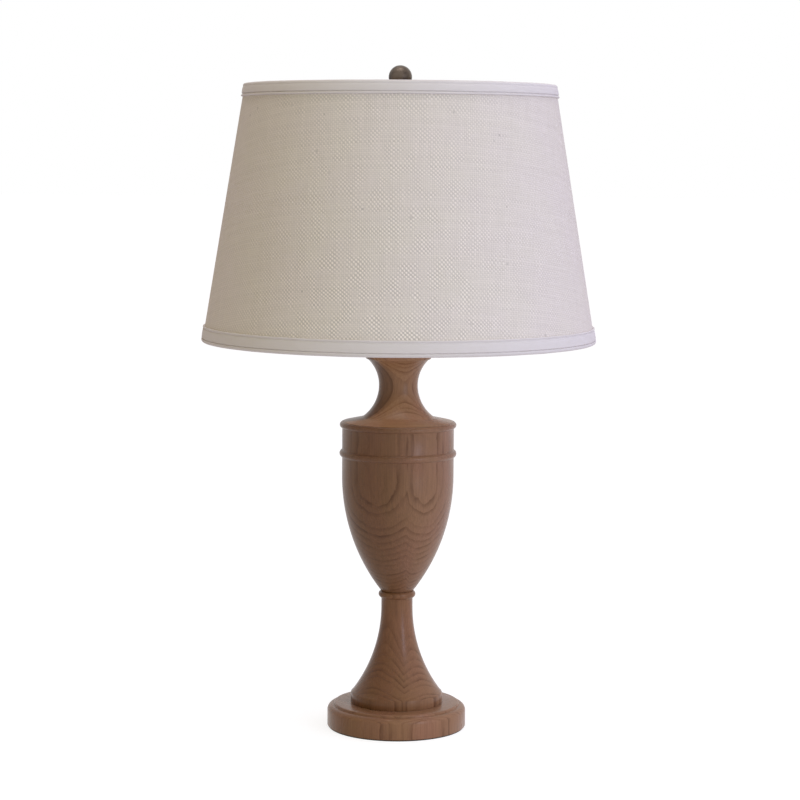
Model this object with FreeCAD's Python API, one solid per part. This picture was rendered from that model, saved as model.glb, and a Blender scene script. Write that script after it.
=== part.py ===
# Column table lamp: a turned wooden urn on a pedestal and plinth, a turn-knob socket with its bulb,
# a wire harp, and a cloth-covered empire shade held down by a ball finial.
# Millimetres. +Z is up and +X is to the right seen from the front, which looks along +Y.
# The origin is the middle of the underside.
import FreeCAD, Part
import math
import os

os.makedirs("parts", exist_ok=True)

V = FreeCAD.Vector
ORIGIN = V(0, 0, 0)
ALONG_X = V(1, 0, 0)
ALONG_Y = V(0, 1, 0)
UP = V(0, 0, 1)
QUARTER_TURN = 90
HALF_TURN = 180
FULL_TURN = 360

# Clearances
body_gap = 0.3  # between pieces that move apart
glue_gap = 0.05  # between pieces that are glued, crimped or sewn together
spigot_gap = 0.1  # round and under a glued wooden spigot
running_gap = 0.06  # round a shaft that turns
tape_slack = 0.4  # between the shade's tape and the wire it is folded over
nut_gap = 0.4  # round the clamp nut inside its brass cover
same_place = 0.01  # two edges nearer than this are one edge
fold_arcs = 6  # the arcs that a fold of tape round its wire is drawn with

# Felt and plinth
felt_thickness = 1.2
felt_inset = 0.9
plinth_radius = 68.6
plinth_height = 23.0
plinth_round = 5.2
plinth_step_height = 2.5
plinth_ledge = 1.4
plinth_edge = 0.8
disc_edge = 1.4
recess_radius = 50.0
recess_depth = 13.7

# Weight and fastenings in the recess
weight_clearance = 2.0
weight_thickness = 5.0
cord_notch_width = 13.0
cord_notch_depth = 14.0
washer_radius = 12.0
washer_thickness = 1.2
base_nut_width = 15.9
base_nut_thickness = 3.2
rod_stub = 0.6

# Cord inlet at the back of the plinth
bushing_height = 7.4
bushing_radius = 4.6
bushing_bore = 3.2
bushing_flange_radius = 6.2
bushing_flange_thickness = 1.8
bushing_overlap = 1.2  # the hole starts this far inside the recess, where its wall curves away

# Rod through the wood
rod_radius = 4.95
rod_bore = 3.6
wood_bore = 5.6

# Pedestal
foot_radius = 45.4
foot_height = 10.6
foot_edge = 2.2
stem_radius = 15.5
stem_flare_height = 96.4
pedestal_height = 112.1
stem_bead_height = 7.0
stem_bead_proud = 2.8
pedestal_spigot_radius = 15.0
pedestal_spigot_length = 4.5

# Urn
urn_radius = 55.0
urn_foot_radius = 15.9
bowl_height = 114.2
urn_height = 168.1
urn_bead_low = 133.4
urn_bead_height = 7.1
urn_bead_proud = 2.6
rim_bead_height = 6.0
rim_bead_proud = 2.4
rim_quirk = 1.2  # how far the rim's bead runs in under the neck
urn_spigot_radius = 8.5
urn_spigot_length = 8.0

# Neck
neck_foot_radius = 54.2
neck_edge = 0.4
cove_foot_radius = 35.6
cove_foot_height = 4.4
waist_radius = 19.06
waist_height = 36.0
cove_top_radius = 30.2
cove_top_height = 61.9
lip_radius = 31.4
lip_proud = 1.3
neck_height = 68.1
neck_spigot_radius = 17.0
neck_spigot_length = 6.0

# Brass on top of the wood
check_ring_radius = 20.0
check_ring_thickness = 1.7
clamp_nut_width = 15.0
clamp_nut_thickness = 4.0
brass_neck_height = 14.3
brass_neck_base = 13.4
brass_neck_waist = 8.6
brass_neck_top = 10.2
brass_neck_wall = 1.6
brass_neck_ring = 2.4

# Saddle under the socket
saddle_thickness = 1.5
saddle_width = 14.0
saddle_flat = 14.0
saddle_rise = 11.0
saddle_arm_run = 17.0
saddle_bend = 4.0
saddle_landing = 10.0
tab_height = 10.0
tab_width = 4.5

# Socket
cap_hub_radius = 7.2
cap_hub_height = 8.0
cap_dome_height = 7.0
cap_rim_height = 10.5
cap_wall = 0.9
shell_radius = 17.1
shell_wall = 0.7
shell_tuck = 6.5
shell_height = 41.0
shell_lip_radius = 14.7
shell_lip_round = 2.2
shell_bead_low = 27.0
shell_bead_height = 2.6
shell_bead_proud = 0.8
liner_wall = 0.8
liner_short = 3.4
socket_body_height = 20.0
screw_shell_height = 25.0
screw_shell_bore = 13.5
screw_shell_wall = 0.6
contact_radius = 4.2
contact_height = 3.0
terminal_head_radius = 3.0
terminal_head_height = 1.6
terminal_shank_radius = 1.6
terminal_shank_length = 5.0
terminal_height = 7.0
cap_screw_radius = 1.5

# Switch
switch_height = 14.5
switch_shaft_radius = 1.6
switch_shaft_depth = 6.0
switch_slot = 2.4
knob_radius = 4.8
knob_length = 13.0
knob_standoff = 2.4
knob_flutes = 8
flute_radius = 1.1

# Bulb
bulb_radius = 30.2
bulb_height = 108.0
bulb_neck_radius = 13.6
bulb_flare_radius = 40.0
bulb_wall = 1.0
bulb_cap_radius = 13.05
bulb_cap_wall = 0.5
bulb_cap_height = 22.0
insulator_height = 2.4
bulb_contact_radius = 4.4
bulb_contact_height = 1.6
bulb_seal_depth = 6.0

# Harp
harp_foot_x = 38.0
harp_wire_radius = 1.9
harp_leg = 27.0
harp_half_width = 58.0
harp_swell_height = 56.0
harp_side = 38.0
harp_shoulder_radius = 30.0
harp_crown_flat = 7.0
harp_height = 209.2
ferrule_bore = 3.9
ferrule_wall = 0.8
ferrule_height = 13.5
collar_radius = 6.0
collar_below = 4.0
collar_above = 6.7
stud_pin_radius = 2.6
stud_pin_length = 3.6
stud_flange_radius = 6.5
stud_flange_thickness = 1.8
stud_radius = 3.1
stud_length = 12.2

# Shade
shade_top_radius = 150.5
shade_bottom_radius = 191.9
shade_height = 249.5
shade_drop = 13.5
fabric_thickness = 0.8
liner_thickness = 1.0
ring_wire_radius = 1.3
tape_thickness = 0.6
band_thickness = 1.4
band_crease_depth = 0.9
band_crease_width = 1.0
top_tape_width = 12.9
bottom_tape_width = 15.3
tape_inside = 9.0
spider_washer_radius = 13.0
spider_washer_thickness = 1.6
spider_bore = 3.6
spider_arm_radius = 1.5
spider_arm_count = 3

# Finial
finial_radius = 11.35
finial_height = 30.2
finial_base_radius = 6.3
finial_base_height = 2.2
finial_waist_radius = 4.9
finial_ledge = 0.2
finial_thread_depth = 10.6

# Heights worked out from the pieces below
plinth_bottom = felt_thickness
plinth_top = plinth_bottom + plinth_height
recess_top = plinth_bottom + recess_depth
weight_bottom = recess_top - weight_thickness
washer_bottom = weight_bottom - washer_thickness
base_nut_bottom = washer_bottom - base_nut_thickness
rod_bottom = base_nut_bottom - rod_stub
pedestal_top = plinth_top + pedestal_height
urn_top = pedestal_top + urn_height
wood_top = urn_top + neck_height
check_ring_top = wood_top + check_ring_thickness
brass_neck_end = check_ring_top + brass_neck_height
saddle_top = brass_neck_end + saddle_thickness
cap_hub_top = saddle_top + cap_hub_height
cap_rim_bottom = cap_hub_top + cap_dome_height - cap_wall
cap_rim_top = cap_rim_bottom + cap_rim_height
shell_bottom = cap_rim_top - shell_tuck
socket_body_bottom = cap_rim_bottom + glue_gap
socket_body_top = socket_body_bottom + socket_body_height
contact_top = socket_body_top + contact_height
bulb_bottom = contact_top + body_gap
insulator_bottom = bulb_bottom + bulb_contact_height
bulb_cap_bottom = insulator_bottom + insulator_height
bulb_cap_top = bulb_cap_bottom + bulb_cap_height
bulb_centre = bulb_bottom + bulb_height - bulb_radius
landing_top = saddle_top + saddle_rise
harp_bottom = landing_top + body_gap
crown_z = harp_bottom + harp_height
collar_top = crown_z + collar_above
stud_flange_bottom = collar_top + body_gap
shade_seat = stud_flange_bottom + stud_flange_thickness
spider_bottom = shade_seat + body_gap
spider_top = spider_bottom + spider_washer_thickness
shade_top = spider_bottom + shade_drop
shade_bottom = shade_top - shade_height
finial_bottom = spider_top + body_gap
ball_centre = finial_bottom + finial_height - finial_radius


def outline(start, *steps):
    """A closed flat outline in the XZ plane. A step of two numbers is a straight run to that point.
    A step of four is an arc through its first point to its second."""
    first = V(start[0], 0, start[1])
    here = first
    edges = []
    for step in steps:
        there = V(step[-2], 0, step[-1])
        if len(step) == 2:
            edges.append(Part.makeLine(here, there))
        else:
            edges.append(Part.Arc(here, V(step[0], 0, step[1]), there).toShape())
        here = there
    edges.append(Part.makeLine(here, first))
    return Part.Face(Part.Wire(edges))


def turned(start, *steps):
    """A solid of revolution about the lamp's axis."""
    return outline(start, *steps).revolve(ORIGIN, UP, FULL_TURN)


def flare(r0, z0, r1, z1):
    """An arc that leaves (r0, z0) upright and ends at (r1, z1), as one step of an outline."""
    across = abs(r1 - r0)
    along = abs(z1 - z0)
    radius = (across * across + along * along) / (2 * across)
    half = math.atan2(along, radius - across) / 2
    mid_r = r0 + math.copysign(radius * (1 - math.cos(half)), r1 - r0)
    mid_z = z0 + math.copysign(radius * math.sin(half), z1 - z0)
    return (mid_r, mid_z, r1, z1)


def flare_back(r0, z0, r1, z1):
    """The same arc, drawn from (r1, z1) back to its upright end at (r0, z0)."""
    mid_r, mid_z, _, _ = flare(r0, z0, r1, z1)
    return (mid_r, mid_z, r0, z0)


def bead(radius, low, high, proud):
    """A half-round bead from low up to high, as one step of an outline."""
    return (radius + proud, (low + high) / 2, radius, high)


def tube(outer, inner, low, high):
    """A plain tube on the lamp's axis."""
    return turned((inner, low), (outer, low), (outer, high), (inner, high))


def rod(radius, start, direction, length):
    """A round bar from a point along a direction."""
    return Part.makeCylinder(radius, length, start, direction)


def softened(solid, radius, *rims):
    """Rounds the circular edges that lie at these (radius, height) places."""
    chosen = []
    for edge in solid.Edges:
        curve = edge.Curve
        if not isinstance(curve, Part.Circle):
            continue
        for rim_radius, rim_z in rims:
            if abs(curve.Radius - rim_radius) < same_place and abs(curve.Center.z - rim_z) < same_place:
                chosen.append(edge)
    return solid.makeFillet(radius, chosen)


def nut_corner(width):
    """How far a six-sided nut's corners are from its middle."""
    return width / math.sqrt(3)


def hex_nut(width, low, thickness):
    """A six-sided nut on the rod, bored to slip over its thread."""
    corner = nut_corner(width)
    points = []
    for side in range(7):
        angle = math.radians(FULL_TURN / 6 * side)
        points.append(V(corner * math.cos(angle), corner * math.sin(angle), low))
    block = Part.Face(Part.makePolygon(points)).extrude(UP * thickness)
    return block.cut(rod(rod_radius + glue_gap, V(0, 0, low), UP, thickness))


class Path:
    """A flat route in the XZ plane made of straight runs and tangent turns.
    The heading is in degrees, 0 along +X and 90 upwards."""

    def __init__(self, x, z, heading):
        self.here = V(x, 0, z)
        self.heading = heading
        self.edges = []

    def direction(self, turn=0):
        angle = math.radians(self.heading + turn)
        return V(math.cos(angle), 0, math.sin(angle))

    def straight(self, length):
        there = self.here + self.direction() * length
        self.edges.append(Part.makeLine(self.here, there))
        self.here = there

    def turn(self, radius, degrees):
        """Turns left for a positive angle and right for a negative one."""
        side = math.copysign(QUARTER_TURN, degrees)
        centre = self.here + self.direction(side) * radius
        middle = centre - self.direction(side + degrees / 2) * radius
        there = centre - self.direction(side + degrees) * radius
        self.edges.append(Part.Arc(self.here, middle, there).toShape())
        self.here = there
        self.heading += degrees

    def swept(self, section):
        """Carries a flat section along the route."""
        return Part.Wire(self.edges).makePipeShell([section], True, False)


def felt_pad():
    return turned((0, 0), (plinth_radius - felt_inset, 0), (plinth_radius - felt_inset, felt_thickness),
                  (0, felt_thickness))


def plinth():
    round_bottom = plinth_top - plinth_step_height - plinth_round
    step_bottom = plinth_top - plinth_step_height
    ledge_radius = plinth_radius - plinth_round
    corner = plinth_round * math.sqrt(0.5)
    disc = turned(
        (wood_bore, recess_top),
        (recess_radius, recess_top),
        (recess_radius, plinth_bottom),
        (plinth_radius, plinth_bottom),
        (plinth_radius, round_bottom),
        (ledge_radius + corner, round_bottom + corner, ledge_radius, step_bottom),
        (ledge_radius - plinth_ledge, step_bottom),
        (ledge_radius - plinth_ledge, plinth_top),
        (pedestal_spigot_radius + spigot_gap, plinth_top),
        (pedestal_spigot_radius + spigot_gap, plinth_top - pedestal_spigot_length - spigot_gap),
        (wood_bore, plinth_top - pedestal_spigot_length - spigot_gap),
    )
    disc = softened(disc, plinth_edge, (plinth_radius, plinth_bottom))
    disc = softened(disc, disc_edge, (ledge_radius - plinth_ledge, plinth_top))
    return disc.cut(rod(bushing_radius + glue_gap, bushing_axis_start(), ALONG_Y, plinth_radius))


def bushing_axis_start():
    """The bushing's axis meets the recess a little inside its wall."""
    return V(0, recess_radius - bushing_overlap, plinth_bottom + bushing_height)


def cord_bushing():
    start = bushing_axis_start()
    seat = plinth_radius + glue_gap
    barrel = rod(bushing_radius, start, ALONG_Y, seat - start.y)
    flange = rod(bushing_flange_radius, V(0, seat, start.z), ALONG_Y, bushing_flange_thickness)
    flange = flange.makeFillet(bushing_flange_thickness / 2, [flange.Edges[0]])
    hole = rod(bushing_bore, start, ALONG_Y, plinth_radius)
    return barrel.fuse(flange).cut(hole).removeSplitter()


def base_weight():
    radius = recess_radius - weight_clearance
    disc = tube(radius, rod_radius + spigot_gap, weight_bottom, recess_top)
    notch = Part.makeBox(cord_notch_width, cord_notch_depth, weight_thickness,
                         V(-cord_notch_width / 2, radius - cord_notch_depth, weight_bottom))
    return disc.cut(notch)


def base_washer():
    return tube(washer_radius, rod_radius + glue_gap, washer_bottom, weight_bottom)


def base_nut():
    return hex_nut(base_nut_width, base_nut_bottom, base_nut_thickness)


def lamp_rod():
    return tube(rod_radius, rod_bore, rod_bottom, cap_hub_top)


def pedestal():
    foot_top = plinth_top + foot_height
    bead_bottom = pedestal_top - stem_bead_height
    flare_top = plinth_top + stem_flare_height
    body = turned(
        (wood_bore, plinth_top - pedestal_spigot_length),
        (pedestal_spigot_radius, plinth_top - pedestal_spigot_length),
        (pedestal_spigot_radius, plinth_top),
        (foot_radius, plinth_top),
        (foot_radius, foot_top),
        flare_back(stem_radius, flare_top, foot_radius, foot_top),
        (stem_radius, bead_bottom),
        bead(stem_radius, bead_bottom, pedestal_top, stem_bead_proud),
        (urn_spigot_radius + spigot_gap, pedestal_top),
        (urn_spigot_radius + spigot_gap, pedestal_top - urn_spigot_length - spigot_gap),
        (wood_bore, pedestal_top - urn_spigot_length - spigot_gap),
    )
    return softened(body, foot_edge, (foot_radius, foot_top))


def urn_body():
    bead_bottom = pedestal_top + urn_bead_low
    bowl_top = pedestal_top + bowl_height
    rim_bottom = urn_top - rim_bead_height
    rim_middle = (rim_bottom + urn_top) / 2
    return turned(
        (wood_bore, pedestal_top - urn_spigot_length),
        (urn_spigot_radius, pedestal_top - urn_spigot_length),
        (urn_spigot_radius, pedestal_top),
        (urn_foot_radius, pedestal_top),
        flare_back(urn_radius, bowl_top, urn_foot_radius, pedestal_top),
        (urn_radius, bead_bottom),
        bead(urn_radius, bead_bottom, bead_bottom + urn_bead_height, urn_bead_proud),
        (urn_radius, rim_bottom),
        (urn_radius + rim_bead_proud, rim_middle, urn_radius - rim_quirk, urn_top),
        (neck_spigot_radius + spigot_gap, urn_top),
        (neck_spigot_radius + spigot_gap, urn_top - neck_spigot_length - spigot_gap),
        (wood_bore, urn_top - neck_spigot_length - spigot_gap),
    )


def neck():
    cove_foot = urn_top + cove_foot_height
    waist = urn_top + waist_height
    cove_top = urn_top + cove_top_height
    return turned(
        (wood_bore, urn_top - neck_spigot_length),
        (neck_spigot_radius, urn_top - neck_spigot_length),
        (neck_spigot_radius, urn_top),
        (neck_foot_radius, urn_top),
        (neck_foot_radius, urn_top + neck_edge),
        (cove_foot_radius, cove_foot),
        flare_back(waist_radius, waist, cove_foot_radius, cove_foot),
        flare(waist_radius, waist, cove_top_radius, cove_top),
        (lip_radius, cove_top),
        bead(lip_radius, cove_top, wood_top, lip_proud),
        (wood_bore, wood_top),
    )


def check_ring():
    ring = tube(check_ring_radius, rod_radius + glue_gap, wood_top, check_ring_top)
    return softened(ring, check_ring_thickness / 2, (check_ring_radius, check_ring_top))


def clamp_nut():
    return hex_nut(clamp_nut_width, check_ring_top, clamp_nut_thickness)


def brass_neck():
    """A hollow turned cover over the nut, which the saddle stands on."""
    ring_top = check_ring_top + brass_neck_ring
    waist = ring_top + (brass_neck_end - ring_top) / 2
    cavity_top = check_ring_top + clamp_nut_thickness + brass_neck_wall
    shell = turned(
        (rod_radius + glue_gap, check_ring_top),
        (brass_neck_base, check_ring_top),
        (brass_neck_base, ring_top),
        (brass_neck_base - brass_neck_wall, ring_top),
        flare_back(brass_neck_waist, waist, brass_neck_base - brass_neck_wall, ring_top),
        flare(brass_neck_waist, waist, brass_neck_top, brass_neck_end),
        (rod_radius + glue_gap, brass_neck_end),
    )
    cavity = tube(nut_corner(clamp_nut_width) + nut_gap, 0, check_ring_top, cavity_top)
    return shell.cut(cavity)


def harp_saddle():
    """A strip bent up at both ends, each with a landing and a tab for the harp's foot."""
    arm_angle = math.degrees(math.atan2(saddle_rise, saddle_arm_run))
    mid = saddle_top - saddle_thickness / 2
    bend_run = saddle_bend * math.tan(math.radians(arm_angle / 2))
    strip = Path(0, mid, 0)
    strip.straight(saddle_flat - bend_run)
    strip.turn(saddle_bend, arm_angle)
    strip.straight(math.hypot(saddle_rise, saddle_arm_run) - 2 * bend_run)
    strip.turn(saddle_bend, -arm_angle)
    strip.straight(saddle_landing + bend_run)
    section = Part.makePolygon([
        V(0, -saddle_width / 2, mid - saddle_thickness / 2),
        V(0, saddle_width / 2, mid - saddle_thickness / 2),
        V(0, saddle_width / 2, mid + saddle_thickness / 2),
        V(0, -saddle_width / 2, mid + saddle_thickness / 2),
        V(0, -saddle_width / 2, mid - saddle_thickness / 2),
    ])
    tab = Part.makeBox(saddle_thickness, tab_width, tab_height,
                       V(tab_x(), -tab_width / 2, landing_top))
    side = strip.swept(section).fuse(tab)
    both = side.fuse(side.mirror(ORIGIN, ALONG_X))
    hole = rod(rod_radius + glue_gap, V(0, 0, brass_neck_end), UP, saddle_thickness)
    return both.cut(hole).removeSplitter()


def tab_x():
    """The tab's inner face stands beside the harp's foot."""
    return harp_foot_x - harp_wire_radius - body_gap - saddle_thickness


def socket_cap():
    """A spun brass cup with a threaded hub, which screws on to the rod."""
    rim_radius = shell_radius + glue_gap
    cup = turned(
        (rod_radius + glue_gap, saddle_top),
        (cap_hub_radius, saddle_top),
        (cap_hub_radius, cap_hub_top),
        flare_back(rim_radius + cap_wall, cap_rim_bottom, cap_hub_radius, cap_hub_top),
        (rim_radius + cap_wall, cap_rim_top),
        (rim_radius, cap_rim_top),
        (rim_radius, cap_rim_bottom),
        flare(rim_radius, cap_rim_bottom, cap_hub_radius, cap_hub_top + cap_wall),
        (rod_radius + glue_gap, cap_hub_top + cap_wall),
    )
    return cup.cut(cap_screw_bar(glue_gap))


def cap_screw_bar(extra):
    """The set screw in the hub, seen from the back."""
    start = V(0, rod_radius + glue_gap, saddle_top + cap_hub_height / 2)
    return rod(cap_screw_radius + extra, start, ALONG_Y, cap_hub_radius + cap_screw_radius)


def cap_screw():
    length = cap_hub_radius + cap_screw_radius - rod_radius
    start = V(0, rod_radius + glue_gap, saddle_top + cap_hub_height / 2)
    return rod(cap_screw_radius, start, ALONG_Y, length)


def inner_radius():
    """The room inside the insulating sleeve."""
    return shell_radius - shell_wall - glue_gap - liner_wall


def switch_z():
    return socket_body_bottom + switch_height


def switch_passage(radius):
    """The way that the switch's shaft takes out to the front."""
    return rod(radius, V(0, 0, switch_z()), ALONG_Y * -1, shell_radius + cap_wall)


def terminal_flat():
    """How far the flats under the terminal screws' heads are from the lamp's axis."""
    return inner_radius() - 1.5 * terminal_head_height - 2 * glue_gap


def socket_body():
    """The moulded block that holds the switch and the contacts."""
    radius = inner_radius() - glue_gap
    block = rod(radius, V(0, 0, socket_body_bottom), UP, socket_body_height)
    flat = terminal_flat()
    for side in (1, -1):
        pocket = Part.makeBox(radius, 2 * radius, 2 * terminal_height,
                              V(side * (flat + radius / 2) - radius / 2, -radius, socket_body_bottom))
        screw = terminal_screw(side, glue_gap)
        block = block.cut(pocket).cut(screw)
    room = rod(switch_shaft_radius + running_gap, V(0, 0, switch_z()), ALONG_Y * -1, radius)
    stop = rod(radius, V(0, 0, socket_body_bottom), UP, socket_body_height)
    core = rod(radius - switch_shaft_depth, V(0, 0, socket_body_bottom), UP, socket_body_height)
    return block.cut(room.common(stop).cut(core))


def terminal_screw(side, extra):
    """One screw on a side of the block, for one wire of a cord."""
    flat = terminal_flat()
    z = socket_body_bottom + terminal_height
    outward = ALONG_X * side
    head = rod(terminal_head_radius, outward * (flat + glue_gap) + UP * z, outward, terminal_head_height)
    start = flat - terminal_shank_length
    shank = rod(terminal_shank_radius + extra, outward * start + UP * z, outward,
                terminal_shank_length + 2 * glue_gap)
    return head.fuse(shank).removeSplitter()


def terminal_screws():
    return Part.makeCompound([terminal_screw(side, 0) for side in (1, -1)])


def centre_contact():
    """A domed brass contact on the block."""
    low = socket_body_top
    shoulder = low + contact_height / 2
    return turned((0, low), (contact_radius, low), (contact_radius, shoulder),
                  flare(contact_radius, shoulder, contact_radius / 2, contact_top), (0, contact_top))


def screw_shell():
    outer = screw_shell_bore + screw_shell_wall
    return tube(outer, screw_shell_bore, socket_body_top, socket_body_top + screw_shell_height)


def socket_liner():
    top = shell_bottom + shell_height - liner_short
    sleeve = tube(inner_radius() + liner_wall, inner_radius(), shell_bottom, top)
    return sleeve.cut(switch_passage(switch_slot))


def socket_shell():
    """The spun brass shell, with a rolled bead, a turned-in lip and the slot for the switch."""
    top = shell_bottom + shell_height
    wall_top = top - shell_lip_round
    inner = shell_radius - shell_wall
    bead_low = shell_bottom + shell_bead_low
    bead_high = bead_low + shell_bead_height
    bead_middle = (bead_low + bead_high) / 2
    corner_radius = shell_lip_round
    corner_r = shell_radius - corner_radius
    outer_mid = corner_radius * math.sqrt(0.5)
    inner_mid = (corner_radius - shell_wall) * math.sqrt(0.5)
    shell = turned(
        (inner, shell_bottom),
        (shell_radius, shell_bottom),
        (shell_radius, bead_low),
        bead(shell_radius, bead_low, bead_high, shell_bead_proud),
        (shell_radius, wall_top),
        (corner_r + outer_mid, wall_top + outer_mid, corner_r, top),
        (shell_lip_radius, top),
        (shell_lip_radius, top - shell_wall),
        (corner_r, top - shell_wall),
        (corner_r + inner_mid, wall_top + inner_mid, inner, wall_top),
        (inner, bead_high),
        (inner + shell_bead_proud, bead_middle, inner, bead_low),
    )
    return shell.cut(switch_passage(switch_slot))


def knob_start():
    return shell_radius + knob_standoff


def switch_knob():
    """A fluted round knob, turned with the fingers."""
    start = V(0, -knob_start(), switch_z())
    knob = rod(knob_radius, start, ALONG_Y * -1, knob_length)
    outer_rim = [edge for edge in knob.Edges
                 if isinstance(edge.Curve, Part.Circle) and edge.Curve.Center.y < start.y - knob_length / 2]
    knob = knob.makeFillet(knob_radius / 4, outer_rim)
    for flute in range(knob_flutes):
        angle = math.radians(FULL_TURN * flute / knob_flutes)
        offset = V(math.cos(angle), 0, math.sin(angle)) * (knob_radius + flute_radius / 2)
        knob = knob.cut(rod(flute_radius, start + offset, ALONG_Y * -1, knob_length))
    return knob


def switch_shaft():
    inner = inner_radius() - glue_gap - switch_shaft_depth + running_gap
    start = V(0, -inner, switch_z())
    return rod(switch_shaft_radius, start, ALONG_Y * -1, knob_start() - inner)


def bulb_contact():
    return turned((0, bulb_bottom), (bulb_contact_radius / 2, bulb_bottom),
                  (bulb_contact_radius, insulator_bottom), (0, insulator_bottom))


def bulb_insulator():
    return turned((0, insulator_bottom), (bulb_contact_radius, insulator_bottom),
                  (bulb_cap_radius - bulb_cap_wall, bulb_cap_bottom), (0, bulb_cap_bottom))


def bulb_cap():
    inner = bulb_cap_radius - bulb_cap_wall
    return tube(bulb_cap_radius, inner, bulb_cap_bottom, bulb_cap_top)


def bulb_skin(inset, neck):
    """The bulb's outline moved in by inset, from its sealed neck to the top of the ball."""
    low = bulb_cap_top - bulb_seal_depth
    step = bulb_cap_top + glue_gap + inset
    ball = bulb_radius - inset
    neck_radius = bulb_neck_radius - inset
    flare_r = bulb_flare_radius + inset
    centre_r = neck_radius + flare_r
    drop = math.sqrt((flare_r + ball) ** 2 - centre_r ** 2)
    flare_z = bulb_centre - drop
    share = ball / (flare_r + ball)
    meet_r = centre_r * share
    meet_z = bulb_centre - drop * share
    half = math.asin(drop / (flare_r + ball)) / 2
    ball_mid = (math.pi / 2 - math.asin(drop / (flare_r + ball))) / 2
    return turned(
        (0, low),
        (neck, low),
        (neck, step),
        (neck_radius, step),
        (neck_radius, flare_z),
        (centre_r - flare_r * math.cos(half), flare_z + flare_r * math.sin(half), meet_r, meet_z),
        (ball * math.cos(ball_mid), bulb_centre + ball * math.sin(ball_mid), 0, bulb_centre + ball),
    )


def bulb_glass():
    """A blown glass envelope, open at the neck that is cemented into the cap."""
    seal_radius = bulb_cap_radius - bulb_cap_wall - glue_gap
    outside = bulb_skin(0, seal_radius)
    inside = bulb_skin(bulb_wall, seal_radius - bulb_wall)
    return outside.cut(inside)


def harp_half():
    """The right half of the harp's line, from its foot up to the middle of its crown."""
    half = Path(harp_foot_x, harp_bottom, QUARTER_TURN)
    half.straight(harp_leg)
    swell = harp_half_width - harp_foot_x
    swell_angle = 2 * math.degrees(math.atan2(swell, harp_swell_height))
    swell_radius = harp_swell_height / (2 * math.sin(math.radians(swell_angle)))
    half.turn(swell_radius, -swell_angle)
    half.turn(swell_radius, swell_angle)
    half.straight(harp_side)
    across = harp_half_width - harp_crown_flat - harp_shoulder_radius
    along = harp_height - harp_leg - harp_swell_height - harp_side - harp_shoulder_radius
    lean = 2 * math.degrees(math.atan2(across, along))
    half.turn(harp_shoulder_radius + along / math.sin(math.radians(lean)), lean)
    half.turn(harp_shoulder_radius, HALF_TURN - half.heading)
    half.straight(harp_crown_flat)
    return half


def harp_wire():
    half = harp_half()
    section = Part.Wire(Part.makeCircle(harp_wire_radius, V(harp_foot_x, 0, harp_bottom), UP))
    side = half.swept(section)
    return side.fuse(side.mirror(ORIGIN, ALONG_X)).removeSplitter()


def harp_collar():
    """A brass barrel crimped on the crown, bored for the stud's pin."""
    barrel = rod(collar_radius, V(0, 0, crown_z - collar_below), UP, collar_below + collar_above)
    wire_hole = rod(harp_wire_radius + glue_gap, V(-collar_radius, 0, crown_z), ALONG_X, 2 * collar_radius)
    pin_hole = rod(stud_pin_radius + running_gap, V(0, 0, collar_top - stud_pin_length - body_gap), UP,
                   stud_pin_length + body_gap)
    return barrel.cut(wire_hole).cut(pin_hole)


def harp_stud():
    """The stud that turns in the collar. The shade sits on its flange and the finial screws on it."""
    return turned(
        (0, collar_top - stud_pin_length),
        (stud_pin_radius, collar_top - stud_pin_length),
        (stud_pin_radius, stud_flange_bottom),
        (stud_flange_radius, stud_flange_bottom),
        (stud_flange_radius, shade_seat),
        (stud_radius, shade_seat),
        (stud_radius, shade_seat + stud_length),
        (0, shade_seat + stud_length),
    )


def ferrule(side):
    """A sleeve that drops over the harp's foot and the saddle's tab."""
    middle = side * (tab_x() + harp_foot_x + harp_wire_radius) / 2
    start = V(middle, 0, harp_bottom)
    outer = rod(ferrule_bore + ferrule_wall, start, UP, ferrule_height)
    return outer.cut(rod(ferrule_bore, start, UP, ferrule_height))


def wall_slope():
    """How far the shade's wall leans out for each millimetre down."""
    return (shade_bottom_radius - shade_top_radius) / shade_height


def wall_radius(z, depth=0.0):
    """The shade's wall at a height, depth in from the cloth's outer face, square to the wall."""
    lean = math.atan(wall_slope())
    return shade_top_radius + (shade_top - z) * wall_slope() - depth / math.cos(lean)


def wall_middle():
    return (fabric_thickness + liner_thickness) / 2


def ring_z(top):
    """The middle of a ring's wire, inside the tape that is folded over it."""
    inset = ring_wire_radius + tape_slack + tape_thickness
    return shade_top - inset if top else shade_bottom + inset


def ring_radius(top):
    return wall_radius(ring_z(top), wall_middle())


def wall_layer(outer_depth, inner_depth):
    """One layer of the shade's wall, between the two rings."""
    low = ring_z(False) + ring_wire_radius + tape_slack
    high = ring_z(True) - ring_wire_radius - tape_slack
    return turned(
        (wall_radius(low, inner_depth), low),
        (wall_radius(low, outer_depth), low),
        (wall_radius(high, outer_depth), high),
        (wall_radius(high, inner_depth), high),
    )


def shade_fabric():
    return wall_layer(0, fabric_thickness)


def shade_liner():
    return wall_layer(fabric_thickness + glue_gap, fabric_thickness + glue_gap + liner_thickness)


def ring(top):
    return Part.makeTorus(ring_radius(top), ring_wire_radius, V(0, 0, ring_z(top)), UP)


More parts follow.
